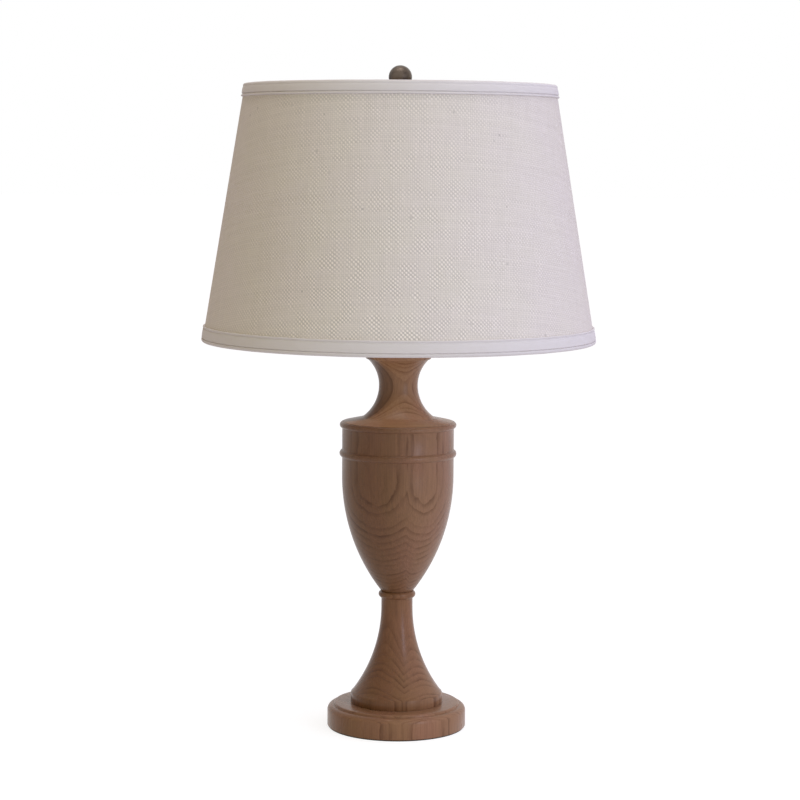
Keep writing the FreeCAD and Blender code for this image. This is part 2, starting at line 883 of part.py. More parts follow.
def trim(top, width):
    """A tape folded over a ring's wire, with a doubled band on the cloth and a short inner band.
    A crease parts the band from the fold."""
    lean = math.atan(wall_slope())
    along = (math.sin(lean), -math.cos(lean)) if top else (-math.sin(lean), math.cos(lean))
    out = (math.cos(lean), math.sin(lean))
    centre = (ring_radius(top), ring_z(top))
    wire = ring_wire_radius + tape_slack
    skin = wire + tape_thickness
    near = wall_middle() + glue_gap
    inner_near = near + glue_gap
    far = near + band_thickness
    crease = far - band_crease_depth
    crease_along = math.sqrt(skin * skin - crease * crease)
    inner_far = inner_near + tape_thickness

    def place(u, v):
        return (centre[0] + u * along[0] + v * out[0], centre[1] + u * along[1] + v * out[1])

    def fold(radius, start_v, end_v):
        """The way round the wire from one side of the wall to the other, in arcs of under a half circle."""
        start = math.asin(start_v / radius) % (2 * math.pi)
        end = math.asin(end_v / radius) % (2 * math.pi)
        half_arc = (end - start) / (2 * fold_arcs)
        steps = []
        for arc in range(fold_arcs):
            middle = start + (2 * arc + 1) * half_arc
            there = middle + half_arc
            steps.append(place(radius * math.cos(middle), radius * math.sin(middle))
                         + place(radius * math.cos(there), radius * math.sin(there)))
        return steps

    return turned(
        place(width - skin, near),
        place(width - skin, far),
        place(crease_along + band_crease_width, far),
        place(crease_along, crease),
        *fold(skin, crease, -inner_far),
        place(tape_inside - skin, -inner_far),
        place(tape_inside - skin, -inner_near),
        place(math.sqrt(wire * wire - inner_near * inner_near), -inner_near),
        *fold(wire, -inner_near, near),
    )


def spider_arm(number, radius):
    """One straight arm from the washer's edge to the top ring, the first one pointing back."""
    low = V(spider_washer_radius - spider_arm_radius, 0, spider_bottom + spider_washer_thickness / 2)
    high = V(ring_radius(True), 0, ring_z(True))
    arm = rod(radius, low, high - low, (high - low).Length)
    arm.rotate(ORIGIN, UP, QUARTER_TURN + FULL_TURN * number / spider_arm_count)
    return arm


def top_trim():
    tape = trim(True, top_tape_width)
    for number in range(spider_arm_count):
        tape = tape.cut(spider_arm(number, spider_arm_radius + tape_slack))
    return tape


def bottom_trim():
    return trim(False, bottom_tape_width)


def spider_washer():
    washer = tube(spider_washer_radius, spider_bore, spider_bottom, spider_top)
    return softened(washer, spider_washer_thickness / 3, (spider_washer_radius, spider_top))


def spider_arms():
    arms = []
    for number in range(spider_arm_count):
        arm = spider_arm(number, spider_arm_radius)
        arms.append(arm.cut(ring(True)).cut(spider_washer()))
    return Part.makeCompound(arms)


def finial():
    """A turned ball on a waisted neck and a round base, tapped for the stud."""
    base_top = finial_bottom + finial_base_height
    meet_angle = math.acos(finial_waist_radius / finial_radius)
    meet_z = ball_centre - finial_radius * math.sin(meet_angle)
    ball_mid = (math.pi / 2 - meet_angle) / 2
    solid = turned(
        (0, finial_bottom),
        (finial_base_radius, finial_bottom),
        (finial_base_radius, base_top),
        flare_back(finial_waist_radius, (base_top + meet_z) / 2, finial_base_radius - finial_ledge, base_top),
        (finial_waist_radius, meet_z),
        (finial_radius * math.cos(ball_mid), ball_centre + finial_radius * math.sin(ball_mid),
         0, ball_centre + finial_radius),
    )
    hole = rod(stud_radius + running_gap, V(0, 0, finial_bottom), UP, finial_thread_depth)
    return solid.cut(hole)


pieces = {
    "felt_pad": felt_pad,
    "plinth": plinth,
    "cord_bushing": cord_bushing,
    "base_weight": base_weight,
    "base_washer": base_washer,
    "base_nut": base_nut,
    "lamp_rod": lamp_rod,
    "pedestal": pedestal,
    "urn_body": urn_body,
    "neck": neck,
    "check_ring": check_ring,
    "clamp_nut": clamp_nut,
    "brass_neck": brass_neck,
    "harp_saddle": harp_saddle,
    "socket_cap": socket_cap,
    "cap_screw": cap_screw,
    "socket_body": socket_body,
    "terminal_screws": terminal_screws,
    "centre_contact": centre_contact,
    "screw_shell": screw_shell,
    "socket_liner": socket_liner,
    "socket_shell": socket_shell,
    "switch_knob": switch_knob,
    "switch_shaft": switch_shaft,
    "bulb_contact": bulb_contact,
    "bulb_insulator": bulb_insulator,
    "bulb_cap": bulb_cap,
    "bulb_glass": bulb_glass,
    "harp_wire": harp_wire,
    "harp_collar": harp_collar,
    "harp_stud": harp_stud,
    "harp_ferrule_left": lambda: ferrule(-1),
    "harp_ferrule_right": lambda: ferrule(1),
    "spider_washer": spider_washer,
    "spider_arms": spider_arms,
    "top_ring": lambda: ring(True),
    "bottom_ring": lambda: ring(False),
    "shade_liner": shade_liner,
    "shade_fabric": shade_fabric,
    "top_trim": top_trim,
    "bottom_trim": bottom_trim,
    "finial": finial,
}

for name, make in pieces.items():
    shape = make()
    solids = len(shape.Solids)
    print(f"{name:20s} solids {solids} volume {shape.Volume / 1000:9.3f} cm3 valid {shape.isValid()}")
    shape.exportStep(f"parts/{name}.step")
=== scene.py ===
import bmesh
import bpy
import math
from mathutils import Matrix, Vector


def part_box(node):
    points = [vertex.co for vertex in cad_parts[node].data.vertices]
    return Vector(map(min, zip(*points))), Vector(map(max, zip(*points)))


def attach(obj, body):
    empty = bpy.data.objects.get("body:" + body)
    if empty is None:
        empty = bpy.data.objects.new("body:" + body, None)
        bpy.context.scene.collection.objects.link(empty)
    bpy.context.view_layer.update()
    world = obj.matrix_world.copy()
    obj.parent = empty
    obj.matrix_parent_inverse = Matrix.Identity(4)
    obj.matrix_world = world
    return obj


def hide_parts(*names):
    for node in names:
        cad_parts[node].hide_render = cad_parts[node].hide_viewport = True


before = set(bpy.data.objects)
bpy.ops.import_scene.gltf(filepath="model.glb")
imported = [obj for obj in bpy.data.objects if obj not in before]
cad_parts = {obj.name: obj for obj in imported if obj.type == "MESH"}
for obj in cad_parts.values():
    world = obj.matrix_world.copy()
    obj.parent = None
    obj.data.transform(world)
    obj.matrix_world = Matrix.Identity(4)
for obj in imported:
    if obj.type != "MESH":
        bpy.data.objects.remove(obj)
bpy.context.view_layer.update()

# The camera stands at the height of the shade and looks slightly down on the lamp.
# Its long lens keeps the shade's rims nearly flat, as a catalogue picture does.
camera_place = (0.0017, -2.2871, 0.5639)
camera_lens = 105.26
camera_down = 5.9465
camera_roll = 0.38
camera_data = bpy.data.cameras.new("camera")
camera_data.lens = camera_lens
camera_data.sensor_width = 36
camera = bpy.data.objects.new("camera", camera_data)
camera.location = camera_place
tilted = Matrix.Rotation(math.radians(90 - camera_down), 4, "X")
rolled = Matrix.Rotation(math.radians(camera_roll), 4, "Z")
camera.rotation_euler = (tilted @ rolled).to_euler()
bpy.context.scene.collection.objects.link(camera)
bpy.context.scene.camera = camera
bpy.context.scene.view_settings.view_transform = "Standard"


# The studio: a pale sheet that the lamp stands on, a sky that is brighter and cooler on the lamp's right
# and plain behind it, a tall soft lamp level with it at the front right, and a wide one above.
# What the camera sees of sky and floor is white.
def node(tree, kind, inputs=None, **settings):
    """Adds a shader node. An input is a value, or another node's output to join to it."""
    added = tree.nodes.new("ShaderNode" + kind)
    for name, value in settings.items():
        setattr(added, name, value)
    for socket, value in (inputs or {}).items():
        if isinstance(value, bpy.types.NodeSocket):
            tree.links.new(value, added.inputs[socket])
        else:
            added.inputs[socket].default_value = value
    return added


def maths(tree, operation, *values, clamp=False):
    """One sum on numbers, and its result."""
    inputs = dict(enumerate(values))
    return node(tree, "Math", inputs, operation=operation, use_clamp=clamp).outputs[0]


def vectors(tree, operation, first, second=(0, 0, 0)):
    """One sum on vectors, and its result."""
    added = node(tree, "VectorMath", {0: first, 1: second}, operation=operation)
    return added.outputs["Value" if operation == "LENGTH" else "Vector"]


def scaled(tree, vector, size):
    """A vector or a colour times a number."""
    return node(tree, "VectorMath", {0: vector, "Scale": size}, operation="SCALE").outputs[0]


def remap(tree, value, low, high, to_low=0.0, to_high=1.0, smooth=True):
    """Brings a range of values to another, with soft ends."""
    kind = "SMOOTHSTEP" if smooth else "LINEAR"
    inputs = {0: value, 1: low, 2: high, 3: to_low, 4: to_high}
    return node(tree, "MapRange", inputs, interpolation_type=kind).outputs[0]


def blend_colours(tree, share, first, second, kind="MIX"):
    """Mixes two colours by a share of 0 to 1."""
    inputs = {0: share, 6: first, 7: second}
    return node(tree, "Mix", inputs, data_type="RGBA", blend_type=kind).outputs[2]


def seen_directly(tree):
    """1 on rays from the camera, mirrors and glass, which show a white background, and 0 on the rest."""
    path = node(tree, "LightPath")
    mirror = maths(tree, "MAXIMUM", path.outputs["Is Camera Ray"], path.outputs["Is Glossy Ray"])
    return maths(tree, "MAXIMUM", mirror, path.outputs["Is Transmission Ray"])


white = (1, 1, 1, 1)
sky_middle = (0.645, 0.575, 0.652)
right_swing = (0.535, 0.585, 0.930)
front_swing = (0.136, 0.256, 0.020)
sky_behind = (0.68, 0.64, 0.68, 1)
fully_behind = 0.8
world = bpy.data.worlds.new("studio")
world.use_nodes = True
bpy.context.scene.world = world
sky = world.node_tree
sky.nodes.clear()
direction = node(sky, "TexCoord").outputs["Generated"]
sides = node(sky, "SeparateXYZ", {0: direction}).outputs
to_right = scaled(sky, right_swing, sides[0])
to_back = scaled(sky, front_swing, sides[1])
swing = vectors(sky, "SUBTRACT", to_right, to_back)
sky_light = vectors(sky, "MAXIMUM", vectors(sky, "ADD", swing, sky_middle), (0, 0, 0))
sky_light = blend_colours(sky, remap(sky, sides[1], 0, fully_behind), sky_light, sky_behind)
sky_colour = blend_colours(sky, seen_directly(sky), sky_light, white)
background = node(sky, "Background", {"Color": sky_colour, "Strength": 1})
node(sky, "OutputWorld", {"Surface": background.outputs[0]})

floor_size = 60
floor_grey = (0.34, 0.34, 0.34, 1)
floor_glow = 0.80
floor_bounce = (0.8, 0.79, 0.78, 1)
bpy.ops.object.select_all(action="DESELECT")
bpy.ops.mesh.primitive_plane_add(size=floor_size, location=(0, 0, 0))
floor = bpy.context.object
floor.name = "floor"
floor_finish = bpy.data.materials.new("studio_floor")
floor_finish.use_nodes = True
tree = floor_finish.node_tree
tree.nodes.clear()
shadowed = node(tree, "BsdfDiffuse", {"Color": floor_grey})
glow = node(tree, "Emission", {"Color": white, "Strength": floor_glow})
shown = node(tree, "AddShader", {0: shadowed.outputs[0], 1: glow.outputs[0]})
bounce = node(tree, "BsdfDiffuse", {"Color": floor_bounce})
floor_mix = node(tree, "MixShader", {0: seen_directly(tree), 1: bounce.outputs[0], 2: shown.outputs[0]})
node(tree, "OutputMaterial", {"Surface": floor_mix.outputs[0]})
floor.data.materials.append(floor_finish)


def soft_lamp(name, width, height, power, colour, place, turn):
    """Adds a soft rectangular lamp."""
    light = bpy.data.lights.new(name, "AREA")
    light.shape = "RECTANGLE"
    light.size = width
    light.size_y = height
    light.energy = power
    light.color = colour
    lamp = bpy.data.objects.new(name, light)
    lamp.location = place
    lamp.rotation_euler = turn
    bpy.context.scene.collection.objects.link(lamp)


key_angle = math.radians(41)
key_rise = math.radians(3)
key_distance = 2.0
key_aim = 0.35
key_place = (
    key_distance * math.sin(key_angle) * math.cos(key_rise),
    -key_distance * math.cos(key_angle) * math.cos(key_rise),
    key_aim + key_distance * math.sin(key_rise),
)
soft_lamp("key", width=0.4, height=0.9, power=6.0, colour=(0.76, 0.90, 1.25), place=key_place,
          turn=(math.pi / 2 - key_rise, 0, key_angle))
soft_lamp("top", width=1.2, height=1.2, power=13, colour=(1, 1, 1), place=(0, -0.3, 2.5), turn=(0, 0, 0))


# The plinth is a disc turned from two glued boards, with a rounded shoulder and a small step.
# It is stained brown and lacquered satin, and a hole is drilled in its back for the bushing.
mm = 0.001
on_axis = 1e-7
arc_sag = 0.02 * mm
same_point = 1e-6
sharp_corner = 28
sharp_edge = 32


def arc(start, middle, end):
    """The points after start on the arc through middle to end, close enough to look round."""
    ax, az = start
    bx, bz = middle
    cx, cz = end
    double = 2 * (ax * (bz - cz) + bx * (cz - az) + cx * (az - bz))
    a2, b2, c2 = ax * ax + az * az, bx * bx + bz * bz, cx * cx + cz * cz
    ox = (a2 * (bz - cz) + b2 * (cz - az) + c2 * (az - bz)) / double
    oz = (a2 * (cx - bx) + b2 * (ax - cx) + c2 * (bx - ax)) / double
    radius = math.hypot(ax - ox, az - oz)
    first = math.atan2(az - oz, ax - ox)
    via = (math.atan2(bz - oz, bx - ox) - first) % (2 * math.pi)
    sweep = (math.atan2(cz - oz, cx - ox) - first) % (2 * math.pi)
    if via > sweep:
        sweep -= 2 * math.pi
    count = max(4, math.ceil(abs(sweep) / (2 * math.acos(1 - arc_sag / radius))))
    angles = [first + sweep * step / count for step in range(1, count + 1)]
    return [(ox + radius * math.cos(a), oz + radius * math.sin(a)) for a in angles]


def select_only(piece):
    """Leaves one piece selected and active."""
    bpy.ops.object.select_all(action="DESELECT")
    piece.select_set(True)
    bpy.context.view_layer.objects.active = piece


def shade_smooth(piece, angle=sharp_edge):
    """Shades a piece smooth but for its sharp edges."""
    select_only(piece)
    bpy.ops.object.shade_smooth_by_angle(angle=math.radians(angle))


def apply_modifier(piece, kind, **settings):
    """Adds a modifier, sets it and applies it."""
    select_only(piece)
    modifier = piece.modifiers.new(kind.lower(), kind)
    for name, value in settings.items():
        setattr(modifier, name, value)
    bpy.ops.object.modifier_apply(modifier=modifier.name)


def turned(name, start, *steps, sides=192, soften=0):
    """Draws half a section, spins it round the lamp's axis and softens its sharp corners.
    A step of two numbers is a straight run, and one of four an arc through one point to another."""
    bpy.ops.object.select_all(action="DESELECT")
    bpy.ops.mesh.primitive_plane_add(size=mm, location=(start[0], 0, start[1]))
    piece = bpy.context.object
    piece.name = name
    bpy.ops.object.transform_apply(location=True)
    bpy.ops.object.mode_set(mode="EDIT")
    bpy.ops.mesh.merge(type="CENTER")
    here = start
    for step in steps:
        points = [step] if len(step) == 2 else arc(here, step[:2], step[2:])
        for there in points:
            move = (there[0] - here[0], 0, there[1] - here[1])
            bpy.ops.mesh.extrude_vertices_move(TRANSFORM_OT_translate={"value": move})
            here = there
    if start[0] > on_axis or here[0] > on_axis:
        section = bmesh.from_edit_mesh(piece.data)
        for vertex in section.verts:
            vertex.select_set(len(vertex.link_edges) == 1)
        section.select_flush_mode()
        bmesh.update_edit_mesh(piece.data)
        bpy.ops.mesh.edge_face_add()
    bpy.ops.mesh.select_all(action="SELECT")
    bpy.ops.mesh.spin(steps=sides, angle=2 * math.pi, center=(0, 0, 0), axis=(0, 0, 1),
                      use_auto_merge=True)
    bpy.ops.mesh.select_all(action="SELECT")
    bpy.ops.mesh.remove_doubles(threshold=same_point)
    bpy.ops.mesh.normals_make_consistent(inside=False)
    bpy.ops.object.mode_set(mode="OBJECT")
    if soften:
        apply_modifier(piece, "BEVEL", width=soften, segments=2, limit_method="ANGLE",
                       angle_limit=math.radians(sharp_corner))
    shade_smooth(piece)
    return piece


def group(name, inputs, outputs):
    """Starts a group of shader nodes with named inputs and outputs."""
    kinds = {"number": "NodeSocketFloat", "vector": "NodeSocketVector", "colour": "NodeSocketColor"}
    made = bpy.data.node_groups.new(name, "ShaderNodeTree")
    for label, kind in inputs.items():
        made.interface.new_socket(label, in_out="INPUT", socket_type=kinds[kind])
    for label, kind in outputs.items():
        made.interface.new_socket(label, in_out="OUTPUT", socket_type=kinds[kind])
    return made, made.nodes.new("NodeGroupInput").outputs, made.nodes.new("NodeGroupOutput").inputs


def noise(tree, place, stretch, detail=2):
    """Cloudy noise from 0 to 1. Stretch is the size of its clouds along each axis, in millimetres."""
    stretched = vectors(tree, "MULTIPLY", place, tuple(1 / (length * mm) for length in stretch))
    return node(tree, "TexNoise", {"Vector": stretched, "Scale": 1, "Detail": detail}).outputs[0]


def swing_by(tree, value, size):
    """Noise from 0 to 1 made a swing to both sides of 0."""
    return maths(tree, "MULTIPLY", maths(tree, "SUBTRACT", value, 0.5), 2 * size)


# The rings of a board lie round an upright pith behind the lamp's axis. They crowd towards the bark,
# waver, and fold a little along the line from the pith through that axis.
board_rings, ins, outs = group(
    "board rings",
    {"Place": "vector", "Pith": "vector", "Bark": "number", "Ring Width": "number",
     "Outer Width": "number"},
    {"Years": "number", "Depth": "number"},
)
tree = board_rings
fold_rise = 0.4 * mm
fold_width = 8 * mm
waver_size = 0.7 * mm
ripple_size = 0.28 * mm
crowding_depth = 5 * mm
past_bark = 2 * mm
flat = vectors(tree, "MULTIPLY", ins["Place"], (1, 1, 0))
reach = vectors(tree, "LENGTH", vectors(tree, "SUBTRACT", flat, ins["Pith"]))
aside = vectors(tree, "LENGTH", vectors(tree, "CROSS_PRODUCT", flat, ins["Pith"]))
aside = maths(tree, "DIVIDE", aside, vectors(tree, "LENGTH", ins["Pith"]))
fold = maths(tree, "EXPONENT", maths(tree, "DIVIDE", aside, -fold_width))
fold = maths(tree, "MULTIPLY", fold, fold_rise)
waver = swing_by(tree, noise(tree, ins["Place"], (15, 15, 48)), waver_size)
ripple = swing_by(tree, noise(tree, ins["Place"], (5, 5, 13)), ripple_size)
reach = maths(tree, "ADD", maths(tree, "ADD", reach, fold), maths(tree, "ADD", waver, ripple))
deep = maths(tree, "SUBTRACT", ins["Bark"], reach)
shallow = maths(tree, "DIVIDE", maths(tree, "MAXIMUM", deep, -past_bark), -crowding_depth)
inner_rate = maths(tree, "DIVIDE", 1, ins["Ring Width"])
outer_rate = maths(tree, "DIVIDE", 1, ins["Outer Width"])
crowding = maths(tree, "MULTIPLY", maths(tree, "SUBTRACT", outer_rate, inner_rate), crowding_depth)
share = maths(tree, "SUBTRACT", 1, maths(tree, "EXPONENT", shallow))
crowded = maths(tree, "MULTIPLY", crowding, share)
years = maths(tree, "ADD", maths(tree, "DIVIDE", deep, ins["Ring Width"]), crowded)
tree.links.new(years, outs["Years"])
tree.links.new(deep, outs["Depth"])

# Two boards meet at a wavy seam. Each year of growth ends in a dark late line, stronger in some years
# than in others, over fine fibre, broader streaks and short pores.
figure_inputs = {"Place": "vector", "Seam": "number", "Ring Width": "number", "Outer Width": "number",
                 "Left Shade Depth": "number"}
for side in ("Left", "Right"):
    for label, kind in {"Pith": "vector", "Bark": "number", "Phase": "number", "Wood": "colour"}.items():
        figure_inputs[side + " " + label] = kind
surface = {"Colour": "colour", "Roughness": "number", "Height": "number"}
turned_figure, ins, outs = group("turned figure", figure_inputs, surface)
tree = turned_figure
place = ins["Place"]


def rings(side):
    """The years of one board's rings, and the depth under its bark side."""
    inputs = {"Place": place, "Pith": ins[side + " Pith"], "Bark": ins[side + " Bark"],
              "Ring Width": ins["Ring Width"], "Outer Width": ins["Outer Width"]}
    board = node(tree, "Group", inputs, node_tree=board_rings).outputs
    return maths(tree, "ADD", board["Years"], ins[side + " Phase"]), board["Depth"]


seam_waver = 1.5 * mm
seam_softness = 2.6 * mm
early = 0.1
late_share = 0.6
late_stain = (0.42, 0.49, 0.54)
left_shade_softness = 3 * mm
left_shade_tone = (0.40, 0.38, 0.38, 1)
rosy_cloud = (1.02, 0.985, 1.03, 1)
yellow_cloud = (0.99, 1.01, 0.95, 1)
left_years, left_depth = rings("Left")
right_years = rings("Right")[0]
beside = maths(tree, "SUBTRACT", node(tree, "SeparateXYZ", {0: place}).outputs[0], ins["Seam"])
from_seam = maths(tree, "ADD", beside, swing_by(tree, noise(tree, place, (6, 6, 22)), seam_waver))
on_right = remap(tree, from_seam, -seam_softness, seam_softness)
years = node(tree, "Mix", {0: on_right, 2: left_years, 3: right_years}).outputs[0]
years = maths(tree, "ADD", years, early)
since = maths(tree, "SUBTRACT", maths(tree, "FRACT", years), early)
year = node(tree, "TexWhiteNoise", {"W": maths(tree, "FLOOR", years)}, noise_dimensions="1D")
strength = remap(tree, year.outputs[0], 0, 1, 0.05, 1.15, smooth=False)
fading = maths(tree, "SUBTRACT", 1, maths(tree, "DIVIDE", since, late_share), clamp=True)
late = maths(tree, "MULTIPLY", maths(tree, "POWER", fading, 1.5), remap(tree, since, -early, 0))
patchy = remap(tree, noise(tree, place, (13, 13, 38)), 0.36, 0.64, 0.35, 1.0)
late = maths(tree, "MULTIPLY", maths(tree, "MULTIPLY", late, strength), patchy)
fibre = noise(tree, place, (0.7, 0.7, 22), detail=3)
streak = noise(tree, place, (2.6, 2.6, 60), detail=3)
pores = remap(tree, noise(tree, place, (0.55, 0.55, 5), detail=1), 0.66, 0.76)
cloud = noise(tree, place, (38, 38, 70))
# Deep in its block the left board is painted darker by a shade tone: painted shade on the side away from
# the lamp.
past_left_shade_depth = maths(tree, "SUBTRACT", left_depth, ins["Left Shade Depth"])
in_left_shade = remap(tree, past_left_shade_depth, -left_shade_softness, left_shade_softness)
left_wood_and_shade = blend_colours(tree, in_left_shade, ins["Left Wood"], left_shade_tone, kind="MULTIPLY")
# Across the lamp the colour runs from the left board's colour to the right board's: their own tones,
# with painted shade where the left is darker and painted light where the right is lighter.
colour = blend_colours(tree, remap(tree, beside, -30 * mm, 24 * mm), left_wood_and_shade, ins["Right Wood"])
stain = scaled(tree, late_stain, late)
colour = vectors(tree, "MULTIPLY", colour, vectors(tree, "SUBTRACT", (1, 1, 1), stain))
value = maths(tree, "ADD", remap(tree, fibre, 0.28, 0.72, 0.90, 1.09), swing_by(tree, streak, 0.12))
value = maths(tree, "SUBTRACT", value, maths(tree, "MULTIPLY", pores, 0.10))
colour = scaled(tree, colour, value)
warmth = blend_colours(tree, remap(tree, cloud, 0.35, 0.65), rosy_cloud, yellow_cloud)
tree.links.new(vectors(tree, "MULTIPLY", colour, warmth), outs["Colour"])
gloss = maths(tree, "ADD", remap(tree, cloud, 0.3, 0.7, 0.25, 0.32), maths(tree, "MULTIPLY", late, 0.05))
tree.links.new(gloss, outs["Roughness"])
relief = maths(tree, "SUBTRACT", maths(tree, "MULTIPLY", fibre, 0.25), pores)
relief = maths(tree, "SUBTRACT", relief, maths(tree, "MULTIPLY", late, 0.3))
tree.links.new(relief, outs["Height"])


def material(name):
    """A new material, its node tree and its shader."""
    made = bpy.data.materials.new(name)
    made.use_nodes = True
    shader = made.node_tree.nodes["Principled BSDF"]
    return made, made.node_tree, shader


def set_shader(tree, shader, **inputs):
    """Sets or joins the shader's inputs, whose names are written with underscores."""
    for name, value in inputs.items():
        socket = shader.inputs[name.replace("_", " ")]
        if isinstance(value, bpy.types.NodeSocket):
            tree.links.new(value, socket)
        else:
            socket.default_value = value


def bump(tree, height, depth):
    """Raises the surface by height, from 0 to 1, times depth."""
    return node(tree, "Bump", {"Height": height, "Distance": depth, "Strength": 1}).outputs[0]


def own_place(tree):
    """Where a point lies on the lamp at rest."""
    return node(tree, "TexCoord").outputs["Object"]


# A depth past any board, so that no painted shade is added to the left board.
no_left_shade = 1.0


def stained_wood(name, radius, seam, left, right, left_shade_depth=no_left_shade, ring_width=2.8 * mm,
                 outer_width=1.0 * mm):
    """The stained and lacquered wood of one turning. Left and right give each board's turn in degrees,
    how far behind the lamp's axis its pith lies, where its rings begin, and its colour; where the left
    colour is darker and the right lighter and pinker, that is painted shade and painted light from the
    lamp at the right.
    The depth after them is how deep under the bark the left board is painted darker as painted shade, a
    metre where it isn't."""
    made, tree, shader = material(name)
    settings = {"Place": own_place(tree), "Seam": seam, "Ring Width": ring_width,
                "Outer Width": outer_width, "Left Shade Depth": left_shade_depth}
    for side, (turn, away, phase, wood) in (("Left", left), ("Right", right)):
        angle = math.radians(turn)
        settings[side + " Pith"] = (-away * math.sin(angle), away * math.cos(angle), 0)
        settings[side + " Bark"] = away + radius + fold_rise
        settings[side + " Phase"] = phase
        settings[side + " Wood"] = wood
    figure = node(tree, "Group", settings, node_tree=turned_figure).outputs
    set_shader(tree, shader, Base_Color=figure["Colour"], Roughness=figure["Roughness"],
               Normal=bump(tree, figure["Height"], 0.05 * mm), Specular_IOR_Level=0.18)
    return made


def finished(piece, finish, body, slot, *replaced):
    """Gives a new piece its material and its body, and hides the nodes that it stands for. Its slot is
    not used.
    """
    piece.data.materials.clear()
    piece.data.materials.append(finish)
    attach(piece, body)
    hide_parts(*replaced)
    return piece


plinth_low, plinth_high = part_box("plinth")
pedestal_low, pedestal_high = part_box("pedestal")
bushing_low, bushing_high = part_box("cord_bushing")
weight_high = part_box("base_weight")[1]
rod_bore = 5.6 * mm
plinth_radius = plinth_high.x
plinth_round = 5.2 * mm
step_height = 2.5 * mm
step_ledge = 1.4 * mm
disc_edge = 1.4 * mm
weight_margin = 2.0 * mm
spigot_radius = 15.1 * mm
cord_hole = 4.65 * mm
drill_length = 30 * mm
recess_radius = weight_high.x + weight_margin
round_middle = plinth_round * math.sqrt(0.5)
step_low = plinth_high.z - step_height
disc_radius = plinth_radius - plinth_round - step_ledge
edge_inset = disc_edge * (1 - math.sqrt(0.5))
plinth = turned(
    "plinth_turning",
    (rod_bore, weight_high.z),
    (recess_radius, weight_high.z),
    (recess_radius, plinth_low.z),
    (plinth_radius, plinth_low.z),
    (plinth_radius, step_low - plinth_round),
    (plinth_radius - plinth_round + round_middle, step_low - plinth_round + round_middle,
     plinth_radius - plinth_round, step_low),
    (disc_radius, step_low),
    (disc_radius, plinth_high.z - disc_edge),
    (disc_radius - edge_inset, plinth_high.z - edge_inset, disc_radius - disc_edge, plinth_high.z),
    (spigot_radius, plinth_high.z),
    (spigot_radius, pedestal_low.z),
    (rod_bore, pedestal_low.z),
    soften=0.5 * mm,
)
bpy.ops.object.select_all(action="DESELECT")
bpy.ops.mesh.primitive_cylinder_add(
    vertices=64,
    radius=cord_hole,
    depth=drill_length,
    location=(0, plinth_radius, (bushing_low.z + bushing_high.z) / 2),
    rotation=(math.pi / 2, 0, 0),
)
drill = bpy.context.object
apply_modifier(plinth, "BOOLEAN", operation="DIFFERENCE", object=drill, solver="EXACT")
bpy.data.objects.remove(drill)
shade_smooth(plinth)
# The left board's colour is darker and the right's lighter and pinker: their own tones, with painted
# shade on the left and painted light from the lamp at the right.
plinth_wood = stained_wood(
    "plinth_wood",
    plinth_radius,
    seam=3 * mm,
    left=(-28, 54 * mm, 0.6, (0.240, 0.121, 0.061, 1)),
    right=(27, 54 * mm, 0.9, (0.290, 0.146, 0.082, 1)),
)
finished(plinth, plinth_wood, "root", "turned_wood", "plinth")


# The bushing is soft black plastic, pushed into the hole at the back of the plinth.
# Its moulded skin has a faint pebble and is hazed by handling.
moulded_skin, ins, outs = group(
    "moulded skin",
    {"Place": "vector", "Main": "colour", "Worn": "colour"},
    surface,
)
tree = moulded_skin
pebble = noise(tree, ins["Place"], (0.6, 0.6, 0.6), detail=3)
haze = noise(tree, ins["Place"], (8, 8, 8), detail=4)
skin_colour = blend_colours(tree, remap(tree, haze, 0.45, 0.8), ins["Main"], ins["Worn"])
tree.links.new(skin_colour, outs["Colour"])
tree.links.new(remap(tree, haze, 0.3, 0.7, 0.28, 0.42), outs["Roughness"])
tree.links.new(pebble, outs["Height"])


def moulded(name, main, worn, depth=0.03 * mm, specular=0.5):
    """A moulded plastic or pressed card."""
    made, tree, shader = material(name)
    settings = {"Place": own_place(tree), "Main": main, "Worn": worn}
    skin = node(tree, "Group", settings, node_tree=moulded_skin).outputs
    set_shader(tree, shader, Base_Color=skin["Colour"], Roughness=skin["Roughness"],
               Normal=bump(tree, skin["Height"], depth), Specular_IOR_Level=specular)
    return made


def dress(finish, *names):
    """Gives pieces of the frame a better material."""
    for name in names:
        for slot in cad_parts[name].material_slots:
            slot.material = finish


soft_plastic = moulded("bushing_plastic", (0.02, 0.02, 0.02, 1), (0.045, 0.043, 0.04, 1),
                       depth=0.05 * mm)
dress(soft_plastic, "cord_bushing")


# The pedestal is one turning: a trumpet foot with a square edge, a slim stem, and a bead under the urn.
# A spigot under it is glued in the plinth.
def flare(r0, z0, r1, z1, back=False):
    """An arc that is upright at (r0, z0) and runs to (r1, z1), or back again, as an outline's step."""
    across = abs(r1 - r0)
    along = abs(z1 - z0)
    radius = (across * across + along * along) / (2 * across)
    half = math.atan2(along, radius - across) / 2
    mid_r = r0 + math.copysign(radius * (1 - math.cos(half)), r1 - r0)
    mid_z = z0 + math.copysign(radius * math.sin(half), z1 - z0)
    return (mid_r, mid_z, r0, z0) if back else (mid_r, mid_z, r1, z1)


def bead(radius, low, high, proud):
    """A half-round bead from low to high, as a step of an outline."""
    return (radius + proud, (low + high) / 2, radius, high)


